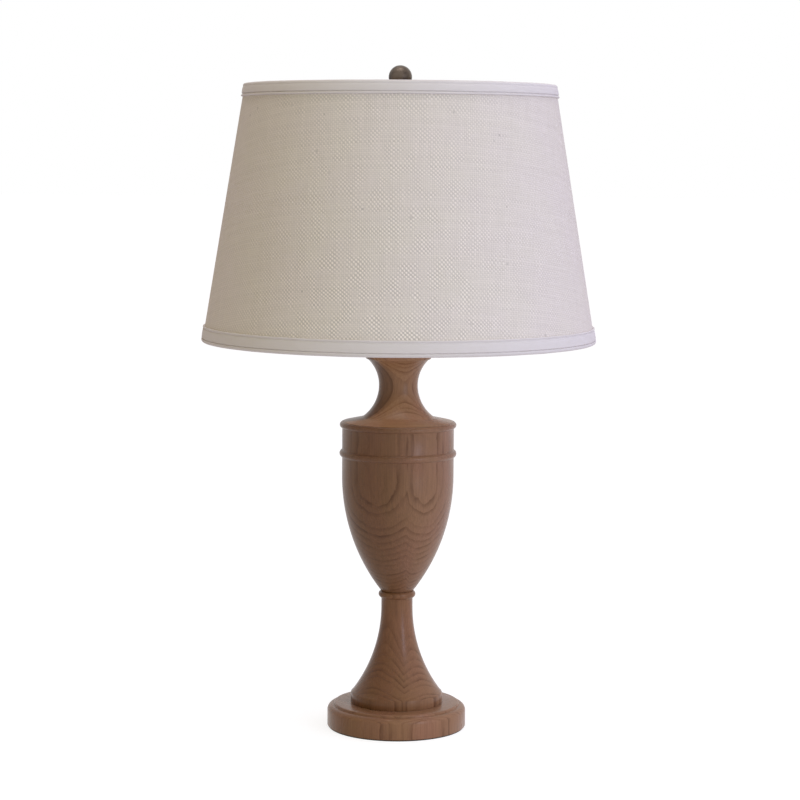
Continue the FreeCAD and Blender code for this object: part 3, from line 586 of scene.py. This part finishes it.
foot_radius = pedestal_high.x
foot_top = plinth_high.z + 10.6 * mm
foot_edge_low = foot_top - 1.4 * mm
foot_edge_middle = (foot_radius - 0.45 * mm, foot_top - 0.35 * mm)
trumpet_foot = (foot_radius - 1.6 * mm, foot_top + 0.6 * mm)
stem_radius = 15.5 * mm
stem_flare = plinth_high.z + 96.4 * mm
bead_low = pedestal_high.z - 7.0 * mm
bead_proud = 2.8 * mm
spigot_gap = 0.1 * mm
pedestal_block = 43.8 * mm
pedestal = turned(
    "pedestal_turning",
    (rod_bore, pedestal_low.z),
    (spigot_radius - spigot_gap, pedestal_low.z),
    (spigot_radius - spigot_gap, plinth_high.z),
    (foot_radius, plinth_high.z),
    (foot_radius, foot_edge_low),
    foot_edge_middle + trumpet_foot,
    flare(stem_radius, stem_flare, *trumpet_foot, back=True),
    (stem_radius, bead_low),
    bead(stem_radius, bead_low, pedestal_high.z, bead_proud),
    (rod_bore, pedestal_high.z),
    soften=0.4 * mm,
)
# The left board's colour is darker and the right's lighter and pinker: their own tones, with painted
# shade on the left and painted light from the lamp at the right.
pedestal_wood = stained_wood(
    "pedestal_wood",
    pedestal_block,
    seam=7 * mm,
    left=(-34, 70 * mm, 0.8, (0.170, 0.077, 0.034, 1)),
    right=(42, 60 * mm, 2.3, (0.245, 0.120, 0.063, 1)),
    ring_width=3.1 * mm,
    outer_width=2.4 * mm,
)
finished(pedestal, pedestal_wood, "root", "turned_wood", "pedestal")


# The urn is one turning: a bowl, a straight wall, and two beads, one round the wall and one at the rim.
# A spigot below it is glued in the pedestal.
urn_low, urn_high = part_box("urn_body")
urn_foot = pedestal_high.z
urn_spigot = 8.5 * mm
urn_radius = 55.0 * mm
urn_foot_radius = 15.9 * mm
urn_upright = urn_foot + 114.2 * mm
urn_bead = urn_foot + 133.4 * mm
urn_bead_height = 7.1 * mm
rim_low = urn_high.z - 6.0 * mm
rim_proud = 2.4 * mm
rim_quirk = 1.2 * mm
urn = turned(
    "urn_turning",
    (rod_bore, urn_low.z),
    (urn_spigot, urn_low.z),
    (urn_spigot, urn_foot),
    (urn_foot_radius, urn_foot),
    flare(urn_radius, urn_upright, urn_foot_radius, urn_foot, back=True),
    (urn_radius, urn_bead),
    bead(urn_radius, urn_bead, urn_bead + urn_bead_height, urn_high.x - urn_radius),
    (urn_radius, rim_low),
    (urn_radius + rim_proud, (rim_low + urn_high.z) / 2, urn_radius - rim_quirk, urn_high.z),
    (rod_bore, urn_high.z),
    soften=0.5 * mm,
)
# The left board's colour is darker and the right's lighter and pinker: their own tones, with painted
# shade on the left and painted light from the lamp at the right.
urn_wood = stained_wood(
    "urn_wood",
    urn_radius,
    seam=10 * mm,
    left=(-22.4, 21 * mm, 0.65, (0.160, 0.078, 0.038, 1)),
    right=(29.4, 54 * mm, 0.85, (0.252, 0.132, 0.078, 1)),
)
finished(urn, urn_wood, "root", "turned_wood", "urn_body")


# The neck is a spool with a deep cove between its thin edge on the urn and the lip at the top.
# It is glued on the urn. Its left board is painted darker deep in the block, at the waist, as painted
# shade on the side away from the lamp.
neck_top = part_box("neck")[1].z
neck_foot_radius = 54.2 * mm
neck_edge_top = urn_high.z + 0.4 * mm
cove_foot = (35.6 * mm, urn_high.z + 4.4 * mm)
waist_radius = 19.06 * mm
waist_height = urn_high.z + 36.0 * mm
cove_top_radius = 30.2 * mm
cove_top = urn_high.z + 61.9 * mm
lip_radius = 31.4 * mm
lip_proud = 1.3 * mm
neck = turned(
    "neck_turning",
    (rod_bore, urn_high.z),
    (neck_foot_radius, urn_high.z),
    (neck_foot_radius, neck_edge_top),
    cove_foot,
    flare(waist_radius, waist_height, *cove_foot, back=True),
    flare(waist_radius, waist_height, cove_top_radius, cove_top),
    (lip_radius, cove_top),
    bead(lip_radius, cove_top, neck_top, lip_proud),
    (rod_bore, neck_top),
    soften=0.15 * mm,
)
# Past the given depth under its bark, the left board is painted darker as painted shade at the waist.
neck_wood = stained_wood(
    "neck_wood",
    neck_foot_radius,
    seam=2 * mm,
    left=(15, 60 * mm, 0.4, (0.330, 0.170, 0.086, 1)),
    right=(15, 60 * mm, 0.4, (0.315, 0.168, 0.094, 1)),
    left_shade_depth=36 * mm,
)
finished(neck, neck_wood, "root", "turned_wood", "neck")


# The weight is a cast iron disc in the recess under the plinth, painted black.
# The nut on the rod clamps it there and holds the whole column together.
cloudy_metal, ins, outs = group(
    "cloudy metal",
    {"Place": "vector", "Bright": "colour", "Dull": "colour", "Smooth": "number", "Rough": "number"},
    surface,
)
tree = cloudy_metal
place = ins["Place"]
breath = noise(tree, place, (9, 9, 9), detail=4)
speck = noise(tree, place, (0.8, 0.8, 0.8), detail=3)
lines = noise(tree, place, (6, 6, 0.18))
specks = remap(tree, speck, 0.6, 0.8, 0.0, 0.35)
cloud = maths(tree, "ADD", remap(tree, breath, 0.4, 0.72), specks, clamp=True)
tree.links.new(blend_colours(tree, cloud, ins["Bright"], ins["Dull"]), outs["Colour"])
worn = node(tree, "Mix", {0: cloud, 2: ins["Smooth"], 3: ins["Rough"]}).outputs[0]
worn = maths(tree, "ADD", worn, swing_by(tree, lines, 0.06), clamp=True)
tree.links.new(worn, outs["Roughness"])
relief = maths(tree, "ADD", maths(tree, "MULTIPLY", lines, 0.5), maths(tree, "MULTIPLY", speck, 0.5))
tree.links.new(relief, outs["Height"])


def metal(name, bright, dull, smooth=0.2, rough=0.45, metallic=1.0, depth=0.005 * mm):
    """A plated, lacquered or painted metal, which clouds over and has fine scratches."""
    made, tree, shader = material(name)
    settings = {"Place": own_place(tree), "Bright": bright, "Dull": dull, "Smooth": smooth,
                "Rough": rough}
    finish = node(tree, "Group", settings, node_tree=cloudy_metal).outputs
    set_shader(tree, shader, Base_Color=finish["Colour"], Roughness=finish["Roughness"],
               Normal=bump(tree, finish["Height"], depth), Metallic=metallic)
    return made


painted_iron = metal("painted_iron", (0.035, 0.035, 0.037, 1), (0.02, 0.019, 0.018, 1),
                     smooth=0.4, rough=0.6, metallic=0.0, depth=0.3 * mm)
dress(painted_iron, "base_weight")


# The rod is threaded steel pipe, zinc plated, and runs up through all the wood.
# A washer and a nut draw it tight under the weight, and another nut does so on top of the wood.
zinc = metal("zinc_plate", (0.66, 0.66, 0.65, 1), (0.45, 0.45, 0.46, 1), smooth=0.25, rough=0.5)
dress(zinc, "lamp_rod", "base_washer", "base_nut", "clamp_nut")


# The felt is a pressed disc, a little smaller than the plinth, with a furry cut edge.
# It is glued on last, under the plinth and the weight.
felt_low, felt_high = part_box("felt_pad")
felt_radius = felt_high.x
fur_in = 0.4 * mm
fur_up = 0.5 * mm
cut_slant = 0.2 * mm
felt = turned(
    "felt_disc",
    (on_axis, felt_low.z),
    (felt_radius - fur_in, felt_low.z),
    (felt_radius, felt_low.z + fur_up),
    (felt_radius - cut_slant, felt_high.z),
    (on_axis, felt_high.z),
)
# The felt's brown is made darker still, as painted shade for the shadowed gap under the plinth.
felt_dark_shaded = (0.030, 0.022, 0.018, 1)
felt_light_shaded = (0.085, 0.062, 0.048, 1)
felt_finish, tree, shader = material("brown_felt")
place = own_place(tree)
fluff = noise(tree, place, (0.5, 0.5, 0.5), detail=5)
matting = noise(tree, place, (7, 7, 7), detail=3)
share = maths(tree, "ADD", maths(tree, "MULTIPLY", fluff, 0.7), maths(tree, "MULTIPLY", matting, 0.3))
felt_colour = blend_colours(tree, remap(tree, share, 0.3, 0.7), felt_dark_shaded, felt_light_shaded)
set_shader(tree, shader, Base_Color=felt_colour, Roughness=remap(tree, fluff, 0.2, 0.8, 0.85, 1.0),
           Normal=bump(tree, share, 0.4 * mm), Sheen_Weight=0.4, Specular_IOR_Level=0.15)
finished(felt, felt_finish, "root", "base_felt", "felt_pad")


# The check ring caps the wood, and the hollow neck stands on it as a spacer for the socket.
# Both are turned from brass, polished and lacquered, and are threaded over the rod.
brass = metal("lacquered_brass", (0.80, 0.58, 0.27, 1), (0.62, 0.41, 0.17, 1), smooth=0.16, rough=0.34)
dress(brass, "check_ring", "brass_neck")


# The saddle is a bent steel strip, brass plated, held under the socket by the rod.
# It has a tab at each end for the legs of the harp.
plated_wire = metal("plated_wire", (0.76, 0.57, 0.29, 1), (0.55, 0.40, 0.20, 1), smooth=0.2, rough=0.4)
dress(plated_wire, "harp_saddle")


# The socket screws on the rod: a spun brass cap and shell round a card sleeve and a moulded block.
# Its screw shell, contact and terminal screws are bare brass, and a small steel screw locks the cap.
bare_brass = metal("bare_brass", (0.74, 0.56, 0.29, 1), (0.42, 0.29, 0.15, 1), smooth=0.3, rough=0.55)
phenolic = moulded("black_phenolic", (0.016, 0.014, 0.013, 1), (0.04, 0.036, 0.032, 1))
card = moulded("pressed_card", (0.42, 0.31, 0.2, 1), (0.5, 0.4, 0.28, 1), depth=0.12 * mm, specular=0.2)
dress(brass, "socket_cap", "socket_shell")
dress(zinc, "cap_screw")
dress(phenolic, "socket_body")
dress(bare_brass, "terminal_screws", "centre_contact", "screw_shell")
dress(card, "socket_liner")


# The switch is a moulded knob, pressed on a thin brass shaft that comes out of the socket's side.
# Turning the knob turns the shaft with it.
dress(phenolic, "switch_knob")
dress(bare_brass, "switch_shaft")


# The bulb is a frosted glass ball with its drawn-in neck cemented in a bright screw cap.
# The cap is thin metal, rolled with a coarse round thread below a plain collar, and ends in a soldered
# contact on a black insulator.
cap_low, cap_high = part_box("bulb_cap")
cap_radius = cap_high.x
cap_wall = 0.5 * mm
cap_pitch = 3.63 * mm
cap_collar = 4.5 * mm
cap_end = 1.2 * mm
roll_depth = 0.42 * mm
cap_rows = 90
rolled_edge = 50
cap_step = (cap_high.z - cap_low.z) / cap_rows
cap = turned(
    "bulb_screw_cap",
    (cap_radius - cap_wall, cap_low.z),
    *[(cap_radius, cap_low.z + row * cap_step) for row in range(cap_rows + 1)],
    (cap_radius - cap_wall, cap_high.z),
    sides=96,
)
for vertex in cap.data.vertices:
    if math.hypot(vertex.co.x, vertex.co.y) < cap_radius - cap_wall / 2:
        continue
    turns = math.atan2(vertex.co.y, vertex.co.x) / (2 * math.pi)
    from_plain = min(vertex.co.z - cap_low.z, cap_high.z - cap_collar - vertex.co.z)
    share = min(1, max(0, from_plain / cap_end))
    wave = 0.5 - 0.5 * math.cos(2 * math.pi * ((vertex.co.z - cap_low.z) / cap_pitch - turns))
    inwards = 1 - roll_depth * share * wave / cap_radius
    vertex.co.x *= inwards
    vertex.co.y *= inwards
shade_smooth(cap, rolled_edge)
bulb_metal = metal("bulb_metal", (0.82, 0.82, 0.83, 1), (0.6, 0.6, 0.61, 1), smooth=0.15, rough=0.35)
finished(cap, bulb_metal, "bulb", "bulb_metal", "bulb_cap")
dress(bulb_metal, "bulb_contact")
dress(phenolic, "bulb_insulator")
frosted, tree, shader = material("frosted_glass")
place = own_place(tree)
frost = noise(tree, place, (0.4, 0.4, 0.4), detail=3)
haze = noise(tree, place, (25, 25, 25))
frost_colour = blend_colours(tree, haze, (0.90, 0.90, 0.89, 1), (0.97, 0.97, 0.95, 1))
set_shader(tree, shader, Base_Color=frost_colour, Roughness=remap(tree, haze, 0.3, 0.7, 0.42, 0.55),
           Normal=bump(tree, frost, 0.03 * mm), Transmission_Weight=0.55, IOR=1.45)
dress(frosted, "bulb_glass")


# The harp is a bowed wire whose legs stand on the saddle's tabs, and two ferrules slide down to lock it.
# A brass collar is crimped on its crown, and holds the stud that takes the shade.
dress(plated_wire, "harp_wire", "harp_ferrule_left", "harp_ferrule_right")
dress(brass, "harp_collar", "harp_stud")


# The fitter is a pressed washer on the stud, with three wire arms to the upper of two wire rings.
# All of it is steel, welded together and dipped in white enamel.
white_enamel = metal("white_enamel", (0.80, 0.78, 0.74, 1), (0.68, 0.65, 0.6, 1),
                     smooth=0.3, rough=0.5, metallic=0.0, depth=0.05 * mm)
dress(white_enamel, "spider_washer", "spider_arms", "top_ring", "bottom_ring")


# The lining is a stiff white sheet rolled into the shade's cone between the two rings.
# Its ends are lapped and glued at the back.
liner_low, liner_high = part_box("shade_liner")
fabric_low, fabric_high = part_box("shade_fabric")
shade_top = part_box("top_trim")[1].z
shade_top_radius = 150.5 * mm
shade_foot_radius = 191.9 * mm
shade_height = 249.5 * mm
shade_slope = (shade_foot_radius - shade_top_radius) / shade_height
lean = math.atan(shade_slope)
liner_inside = 1.85 * mm
liner_outside = 0.9 * mm


def wall_radius(z, depth=0.0):
    """The radius of the shade's wall at a height, depth in from the cloth's outer face."""
    return shade_top_radius + (shade_top - z) * shade_slope - depth / math.cos(lean)


liner = turned(
    "lining",
    (wall_radius(liner_low.z, liner_inside), liner_low.z),
    (wall_radius(liner_low.z, liner_outside), liner_low.z),
    (wall_radius(liner_high.z, liner_outside), liner_high.z),
    (wall_radius(liner_high.z, liner_inside), liner_high.z),
    sides=288,
)
lining, tree, shader = material("white_lining")
place = own_place(tree)
tooth = noise(tree, place, (0.5, 0.5, 0.5), detail=3)
age = noise(tree, place, (60, 60, 60), detail=3)
lining_colour = blend_colours(tree, age, (0.80, 0.77, 0.71, 1), (0.86, 0.84, 0.79, 1))
set_shader(tree, shader, Base_Color=lining_colour, Roughness=remap(tree, tooth, 0.3, 0.7, 0.5, 0.7),
           Normal=bump(tree, tooth, 0.04 * mm), Specular_IOR_Level=0.3)
finished(liner, lining, "shade", "shade_lining", "shade_liner")


# The cloth is a coarse plain weave in undyed yarn, cut flat as part of a ring and glued on the lining.
# Its threads stand upright at the front and lean more and more towards the sides, and its ends lap at
# the back.
cloth_thickness = 0.7 * mm
lap = math.radians(4)
lap_gap = 0.1 * mm
glue_sink = 0.05 * mm
girth_steps = 360
slant_steps = 36
turn_share = math.sin(lean)
near_edge = wall_radius(fabric_high.z) / turn_share
far_edge = wall_radius(fabric_low.z) / turn_share
bpy.ops.object.select_all(action="DESELECT")
bpy.ops.mesh.primitive_grid_add(x_subdivisions=girth_steps, y_subdivisions=slant_steps, size=2)
cloth = bpy.context.object
cloth.name = "shade_cloth"
cut_map = cloth.data.uv_layers[0]
cut_map.name = "flat_cut"


def cut_place(vertex):
    """A point's angle round the lamp from the front, and its reach from the middle of the cut ring."""
    round_lamp = vertex.co.x * (math.pi + lap / 2)
    reach = near_edge + (far_edge - near_edge) * (1 - vertex.co.y) / 2
    return round_lamp, reach


for loop in cloth.data.loops:
    round_lamp, reach = cut_place(cloth.data.vertices[loop.vertex_index])
    flat_angle = round_lamp * turn_share
    cut_map.data[loop.index].uv = (reach * math.sin(flat_angle), reach * math.cos(flat_angle))
for vertex in cloth.data.vertices:
    round_lamp, reach = cut_place(vertex)
    lapped = min(1, max(0, (round_lamp - math.pi + lap) / (lap / 2)))
    radius = reach * turn_share + lapped * (cloth_thickness + lap_gap) - glue_sink
    height = shade_top - (reach * turn_share - shade_top_radius) / shade_slope
    vertex.co = (radius * math.sin(round_lamp), -radius * math.cos(round_lamp), height)
bpy.ops.object.mode_set(mode="EDIT")
bpy.ops.mesh.select_all(action="SELECT")
bpy.ops.mesh.normals_make_consistent(inside=False)
bpy.ops.object.mode_set(mode="OBJECT")
first_face = cloth.data.polygons[0]
if first_face.normal.dot(first_face.center) < 0:
    cloth.data.flip_normals()
apply_modifier(cloth, "SOLIDIFY", thickness=cloth_thickness, offset=-1)
shade_smooth(cloth)

# Warp and weft pass over and under each other. Each thread has its own tone and slubs, and wanders a
# little, and a few crossings carry a dark fleck. The gaps between threads are painted darker as painted
# shade, and each float carries a diagonal painted highlight.
plain_weave, ins, outs = group(
    "plain weave",
    {"Place": "vector", "Pitch": "number", "Contrast": "number"},
    {"Value": "number", "Height": "number"},
)
tree = plain_weave
wander = 1.3
yarn_step = 7.31
slub_rate = 0.07
on_cut = node(tree, "SeparateXYZ", {0: ins["Place"]}).outputs
wander_across = swing_by(tree, noise(tree, ins["Place"], (24, 150, 1)), wander)
wander_along = swing_by(tree, noise(tree, ins["Place"], (150, 24, 1)), wander)
across = maths(tree, "ADD", maths(tree, "DIVIDE", on_cut[0], ins["Pitch"]), wander_across)
along = maths(tree, "ADD", maths(tree, "DIVIDE", on_cut[1], ins["Pitch"]), wander_along)
warp = maths(tree, "FLOOR", across)
weft = maths(tree, "FLOOR", along)


def thread(tree, across, along, number, sign):
    """One set of threads: how high a point lies on them, and how light their yarn is there."""
    from_middle = maths(tree, "MULTIPLY", maths(tree, "SUBTRACT", maths(tree, "FRACT", across), 0.5), 2)
    yarn = node(tree, "CombineXYZ", {
        0: maths(tree, "MULTIPLY", number, yarn_step),
        1: maths(tree, "MULTIPLY", along, slub_rate),
        2: 3.7 * sign,
    })
    slub = node(tree, "TexNoise", {"Vector": yarn.outputs[0], "Scale": 1, "Detail": 2}).outputs[0]
    offset = maths(tree, "DIVIDE", from_middle, remap(tree, slub, 0.35, 0.8, 0.94, 1.2))
    left_over = maths(tree, "SUBTRACT", 1, maths(tree, "MULTIPLY", offset, offset))
    round_top = maths(tree, "SQRT", maths(tree, "MAXIMUM", left_over, 0))
    wave_at = maths(tree, "ADD", maths(tree, "SUBTRACT", along, 0.5), number)
    wave = maths(tree, "COSINE", maths(tree, "MULTIPLY", wave_at, math.pi))
    height = maths(tree, "ADD", round_top, maths(tree, "MULTIPLY", wave, 0.5 * sign))
    seed = maths(tree, "ADD", number, 0.37 * sign)
    own_tone = node(tree, "TexWhiteNoise", {"W": seed}, noise_dimensions="1D").outputs[0]
    uneven = 0.02 - 0.012 * sign
    light = remap(tree, own_tone, 0, 1, -uneven, uneven, smooth=False)
    return height, maths(tree, "ADD", light, swing_by(tree, slub, 0.06))


warp_height, warp_light = thread(tree, across, along, warp, 1)
weft_height, weft_light = thread(tree, along, across, weft, -1)
warp_over = maths(tree, "GREATER_THAN", warp_height, weft_height)
height = maths(tree, "MAXIMUM", warp_height, weft_height)
patchy = remap(tree, noise(tree, ins["Place"], (14, 14, 1)), 0.38, 0.62, 0.35, 1.25)
contrast = maths(tree, "MULTIPLY", patchy, ins["Contrast"])
warp_value = maths(tree, "ADD", warp_light, maths(tree, "ADD", 1, contrast))
weft_value = maths(tree, "ADD", weft_light, maths(tree, "SUBTRACT", 1, contrast))
value = node(tree, "Mix", {0: warp_over, 2: weft_value, 3: warp_value}).outputs[0]
# Low points between threads are painted darker: painted shade.
value = maths(tree, "MULTIPLY", value, remap(tree, height, 0.3, 1.45, 0.84, 1.03))
# A diagonal painted highlight runs across each float, where light catches the twist of the yarn.
slant = maths(tree, "MULTIPLY", maths(tree, "SUBTRACT", across, along), math.pi)
painted_float_highlight = maths(tree, "MULTIPLY", maths(tree, "COSINE", slant), contrast)
value = maths(tree, "ADD", value, maths(tree, "MULTIPLY", painted_float_highlight, 0.5))
crossing = node(tree, "CombineXYZ", {0: warp, 1: weft}).outputs[0]
chance = node(tree, "TexWhiteNoise", {"Vector": crossing}, noise_dimensions="2D").outputs[0]
fleck = remap(tree, chance, 0.9985, 0.9995, 1.0, 0.78)
tree.links.new(maths(tree, "MULTIPLY", value, fleck), outs["Value"])
tree.links.new(height, outs["Height"])

# The weave's contrast is painted strongest low on the shade, a little left of the front, and weakest at
# the top and towards the sides: painted light and shade where light rakes across the threads.
thread_pitch = 1.95 * mm
top_contrast = 0.065
bottom_contrast = 0.13
middle_left = 25 * mm
yarn_colour = (0.692, 0.632, 0.568, 1)
rosy_yarn = (0.694, 0.628, 0.578, 1)
oatmeal, tree, shader = material("oatmeal_weave")
flat_cut = node(tree, "UVMap", uv_map="flat_cut").outputs[0]
on_cut = node(tree, "SeparateXYZ", {0: flat_cut}).outputs
off_middle = maths(tree, "ABSOLUTE", maths(tree, "ADD", on_cut[0], middle_left))
by_height = remap(tree, on_cut[1], near_edge, far_edge, top_contrast, bottom_contrast)
by_side = remap(tree, off_middle, 40 * mm, 165 * mm, 1, 0.4)
contrast = maths(tree, "MULTIPLY", by_height, by_side)
settings = {"Place": flat_cut, "Pitch": thread_pitch, "Contrast": contrast}
weave = node(tree, "Group", settings, node_tree=plain_weave).outputs
batch = noise(tree, flat_cut, (45, 45, 1), detail=3)
tint = blend_colours(tree, remap(tree, batch, 0.3, 0.7), yarn_colour, rosy_yarn)
set_shader(tree, shader, Base_Color=scaled(tree, tint, weave["Value"]),
           Roughness=remap(tree, weave["Height"], 0, 1.4, 0.95, 0.8),
           Normal=bump(tree, weave["Height"], 0.12 * mm), Specular_IOR_Level=0.05)
finished(cloth, oatmeal, "shade", "oatmeal_cloth", "shade_fabric")


# Two woven tapes are folded over the wires and glued to the cloth. Each has a flat band and a rolled
# edge, with a narrow groove between them.
bottom_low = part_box("bottom_trim")[0]
wire_radius = 1.3 * mm
wire_gap = 0.35 * mm
skin_radius = 2.3 * mm
wall_middle = 0.9 * mm
band_out = 2.35 * mm
band_bow = 0.12 * mm
band_dip = 0.05 * mm
lip_dip = 0.1 * mm
cut_dip = 0.4 * mm
inside_out = 0.95 * mm
inner_skin = 1.6 * mm
lip_width = 1.6 * mm
groove_width = 1.3 * mm
crease_width = 0.7 * mm
inside_width = 9.0 * mm
slack_size = 0.22 * mm
folded_edge = 50


def tape(name, top, width, lip_rise, groove_fall, crease, crease_depth):
    """One tape, drawn in the wall's own directions: u from the wire along the wall, and v outwards."""
    ring_z = shade_top - skin_radius if top else bottom_low.z + skin_radius
    ring_r = wall_radius(ring_z, wall_middle)
    down = -1 if top else 1
    along = (-down * math.sin(lean), down * math.cos(lean))
    out = (math.cos(lean), math.sin(lean))

    def place(u, v):
        return (ring_r + u * along[0] + v * out[0], ring_z + u * along[1] + v * out[1])

    def fold(radius, start_v, end_v):
        start = math.asin(start_v / radius) % (2 * math.pi)
        end = math.asin(end_v / radius) % (2 * math.pi)
        middle = (start + end) / 2
        via = place(radius * math.cos(middle), radius * math.sin(middle))
        return via + place(radius * math.cos(end), radius * math.sin(end))

    edge = width - skin_radius
    lip = edge - lip_width
    groove = lip - groove_width
    pinch = crease + crease_width
    roll = crease - crease_width / 2
    roll_v = math.sqrt(skin_radius ** 2 - roll ** 2)
    pocket = wire_radius + wire_gap
    inside_v = -inside_out - band_dip
    made = turned(
        name,
        place(edge, inside_out),
        place(edge, band_out - cut_dip),
        place((edge + lip) / 2, band_out + lip_rise) + place(lip, band_out - lip_dip),
        place((lip + groove) / 2, band_out - groove_fall) + place(groove, band_out - band_dip),
        place((groove + pinch) / 2, band_out + band_bow) + place(pinch, band_out - band_dip),
        place(crease, band_out - crease_depth),
        place(roll, roll_v),
        fold(skin_radius, roll_v, -inner_skin),
        place(inside_width - skin_radius, -inner_skin),
        place(inside_width - skin_radius, inside_v),
        place(math.sqrt(pocket ** 2 - inside_v ** 2), inside_v),
        fold(pocket, inside_v, inside_out),
        sides=360,
    )
    slack = bpy.data.textures.new(name + "_slack", "CLOUDS")
    slack.noise_scale = 20 * mm
    slack.noise_depth = 2
    apply_modifier(made, "DISPLACE", texture=slack, texture_coords="LOCAL", strength=slack_size,
                   mid_level=0.5)
    shade_smooth(made, folded_edge)
    return made


top_tape = tape(
    "top_tape",
    top=True,
    width=12.9 * mm,
    lip_rise=0.3 * mm,
    groove_fall=1.1 * mm,
    crease=1.2 * mm,
    crease_depth=0.3 * mm,
)
bottom_tape = tape(
    "bottom_tape",
    top=False,
    width=15.3 * mm,
    lip_rise=0.45 * mm,
    groove_fall=0.3 * mm,
    crease=1.0 * mm,
    crease_depth=1.0 * mm,
)
tape_pitch = 0.6 * mm
tape_contrast = 0.05
tape_tone = (0.685, 0.636, 0.618)
tape_finish, tree, shader = material("woven_tape")
on_lamp = node(tree, "SeparateXYZ", {0: own_place(tree)}).outputs
angle = maths(tree, "ARCTAN2", on_lamp[0], maths(tree, "MULTIPLY", on_lamp[1], -1))
run = maths(tree, "MULTIPLY", angle, fabric_high.x)
strip = node(tree, "CombineXYZ", {0: run, 1: on_lamp[2]}).outputs[0]
settings = {"Place": strip, "Pitch": tape_pitch, "Contrast": tape_contrast}
# The weave's painted shade between threads and painted highlight on each float carry into the tape's
# colour.
weave = node(tree, "Group", settings, node_tree=plain_weave).outputs
streaks = noise(tree, strip, (30, 0.7, 1), detail=3)
light = remap(tree, weave["Value"], 0.6, 1.2, 0.93, 1.03, smooth=False)
light = maths(tree, "ADD", light, swing_by(tree, streaks, 0.05))
set_shader(tree, shader, Base_Color=scaled(tree, tape_tone, light),
           Roughness=remap(tree, streaks, 0.3, 0.7, 0.75, 0.9),
           Normal=bump(tree, weave["Height"], 0.05 * mm), Specular_IOR_Level=0.08)
finished(top_tape, tape_finish, "shade", "shade_tape", "top_trim")
finished(bottom_tape, tape_finish, "shade", "shade_tape", "bottom_trim")


# The finial is a turned brass ball on a waisted neck, finished as dark oil-rubbed bronze.
# It is tapped, and screws down on the stud to hold the shade.
finial_low, finial_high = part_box("finial")
ball_radius = 11.35 * mm
ball_centre = finial_high.z - ball_radius
base_radius = 6.3 * mm
base_top = finial_low.z + 2.2 * mm
waist = 4.9 * mm
hole_radius = 3.16 * mm
hole_top = finial_low.z + 10.6 * mm
base_slope = 0.2 * mm
ball_from = math.acos(waist / ball_radius)
ball_middle = (math.pi / 2 - ball_from) / 2
ball_low = ball_centre - ball_radius * math.sin(ball_from)
finial = turned(
    "finial_ball",
    (on_axis, hole_top),
    (hole_radius, hole_top),
    (hole_radius, finial_low.z),
    (base_radius, finial_low.z),
    (base_radius, base_top),
    flare(waist, (base_top + ball_low) / 2, base_radius - base_slope, base_top, back=True),
    (waist, ball_low),
    (ball_radius * math.cos(ball_middle), ball_centre + ball_radius * math.sin(ball_middle),
     on_axis, ball_centre + ball_radius),
    sides=96,
    soften=0.25 * mm,
)
bronze = metal("oil_rubbed_bronze", (0.13, 0.098, 0.075, 1), (0.07, 0.052, 0.042, 1),
               smooth=0.36, rough=0.5, metallic=0.85, depth=0.04 * mm)
finished(finial, bronze, "finial", "dark_bronze", "finial")
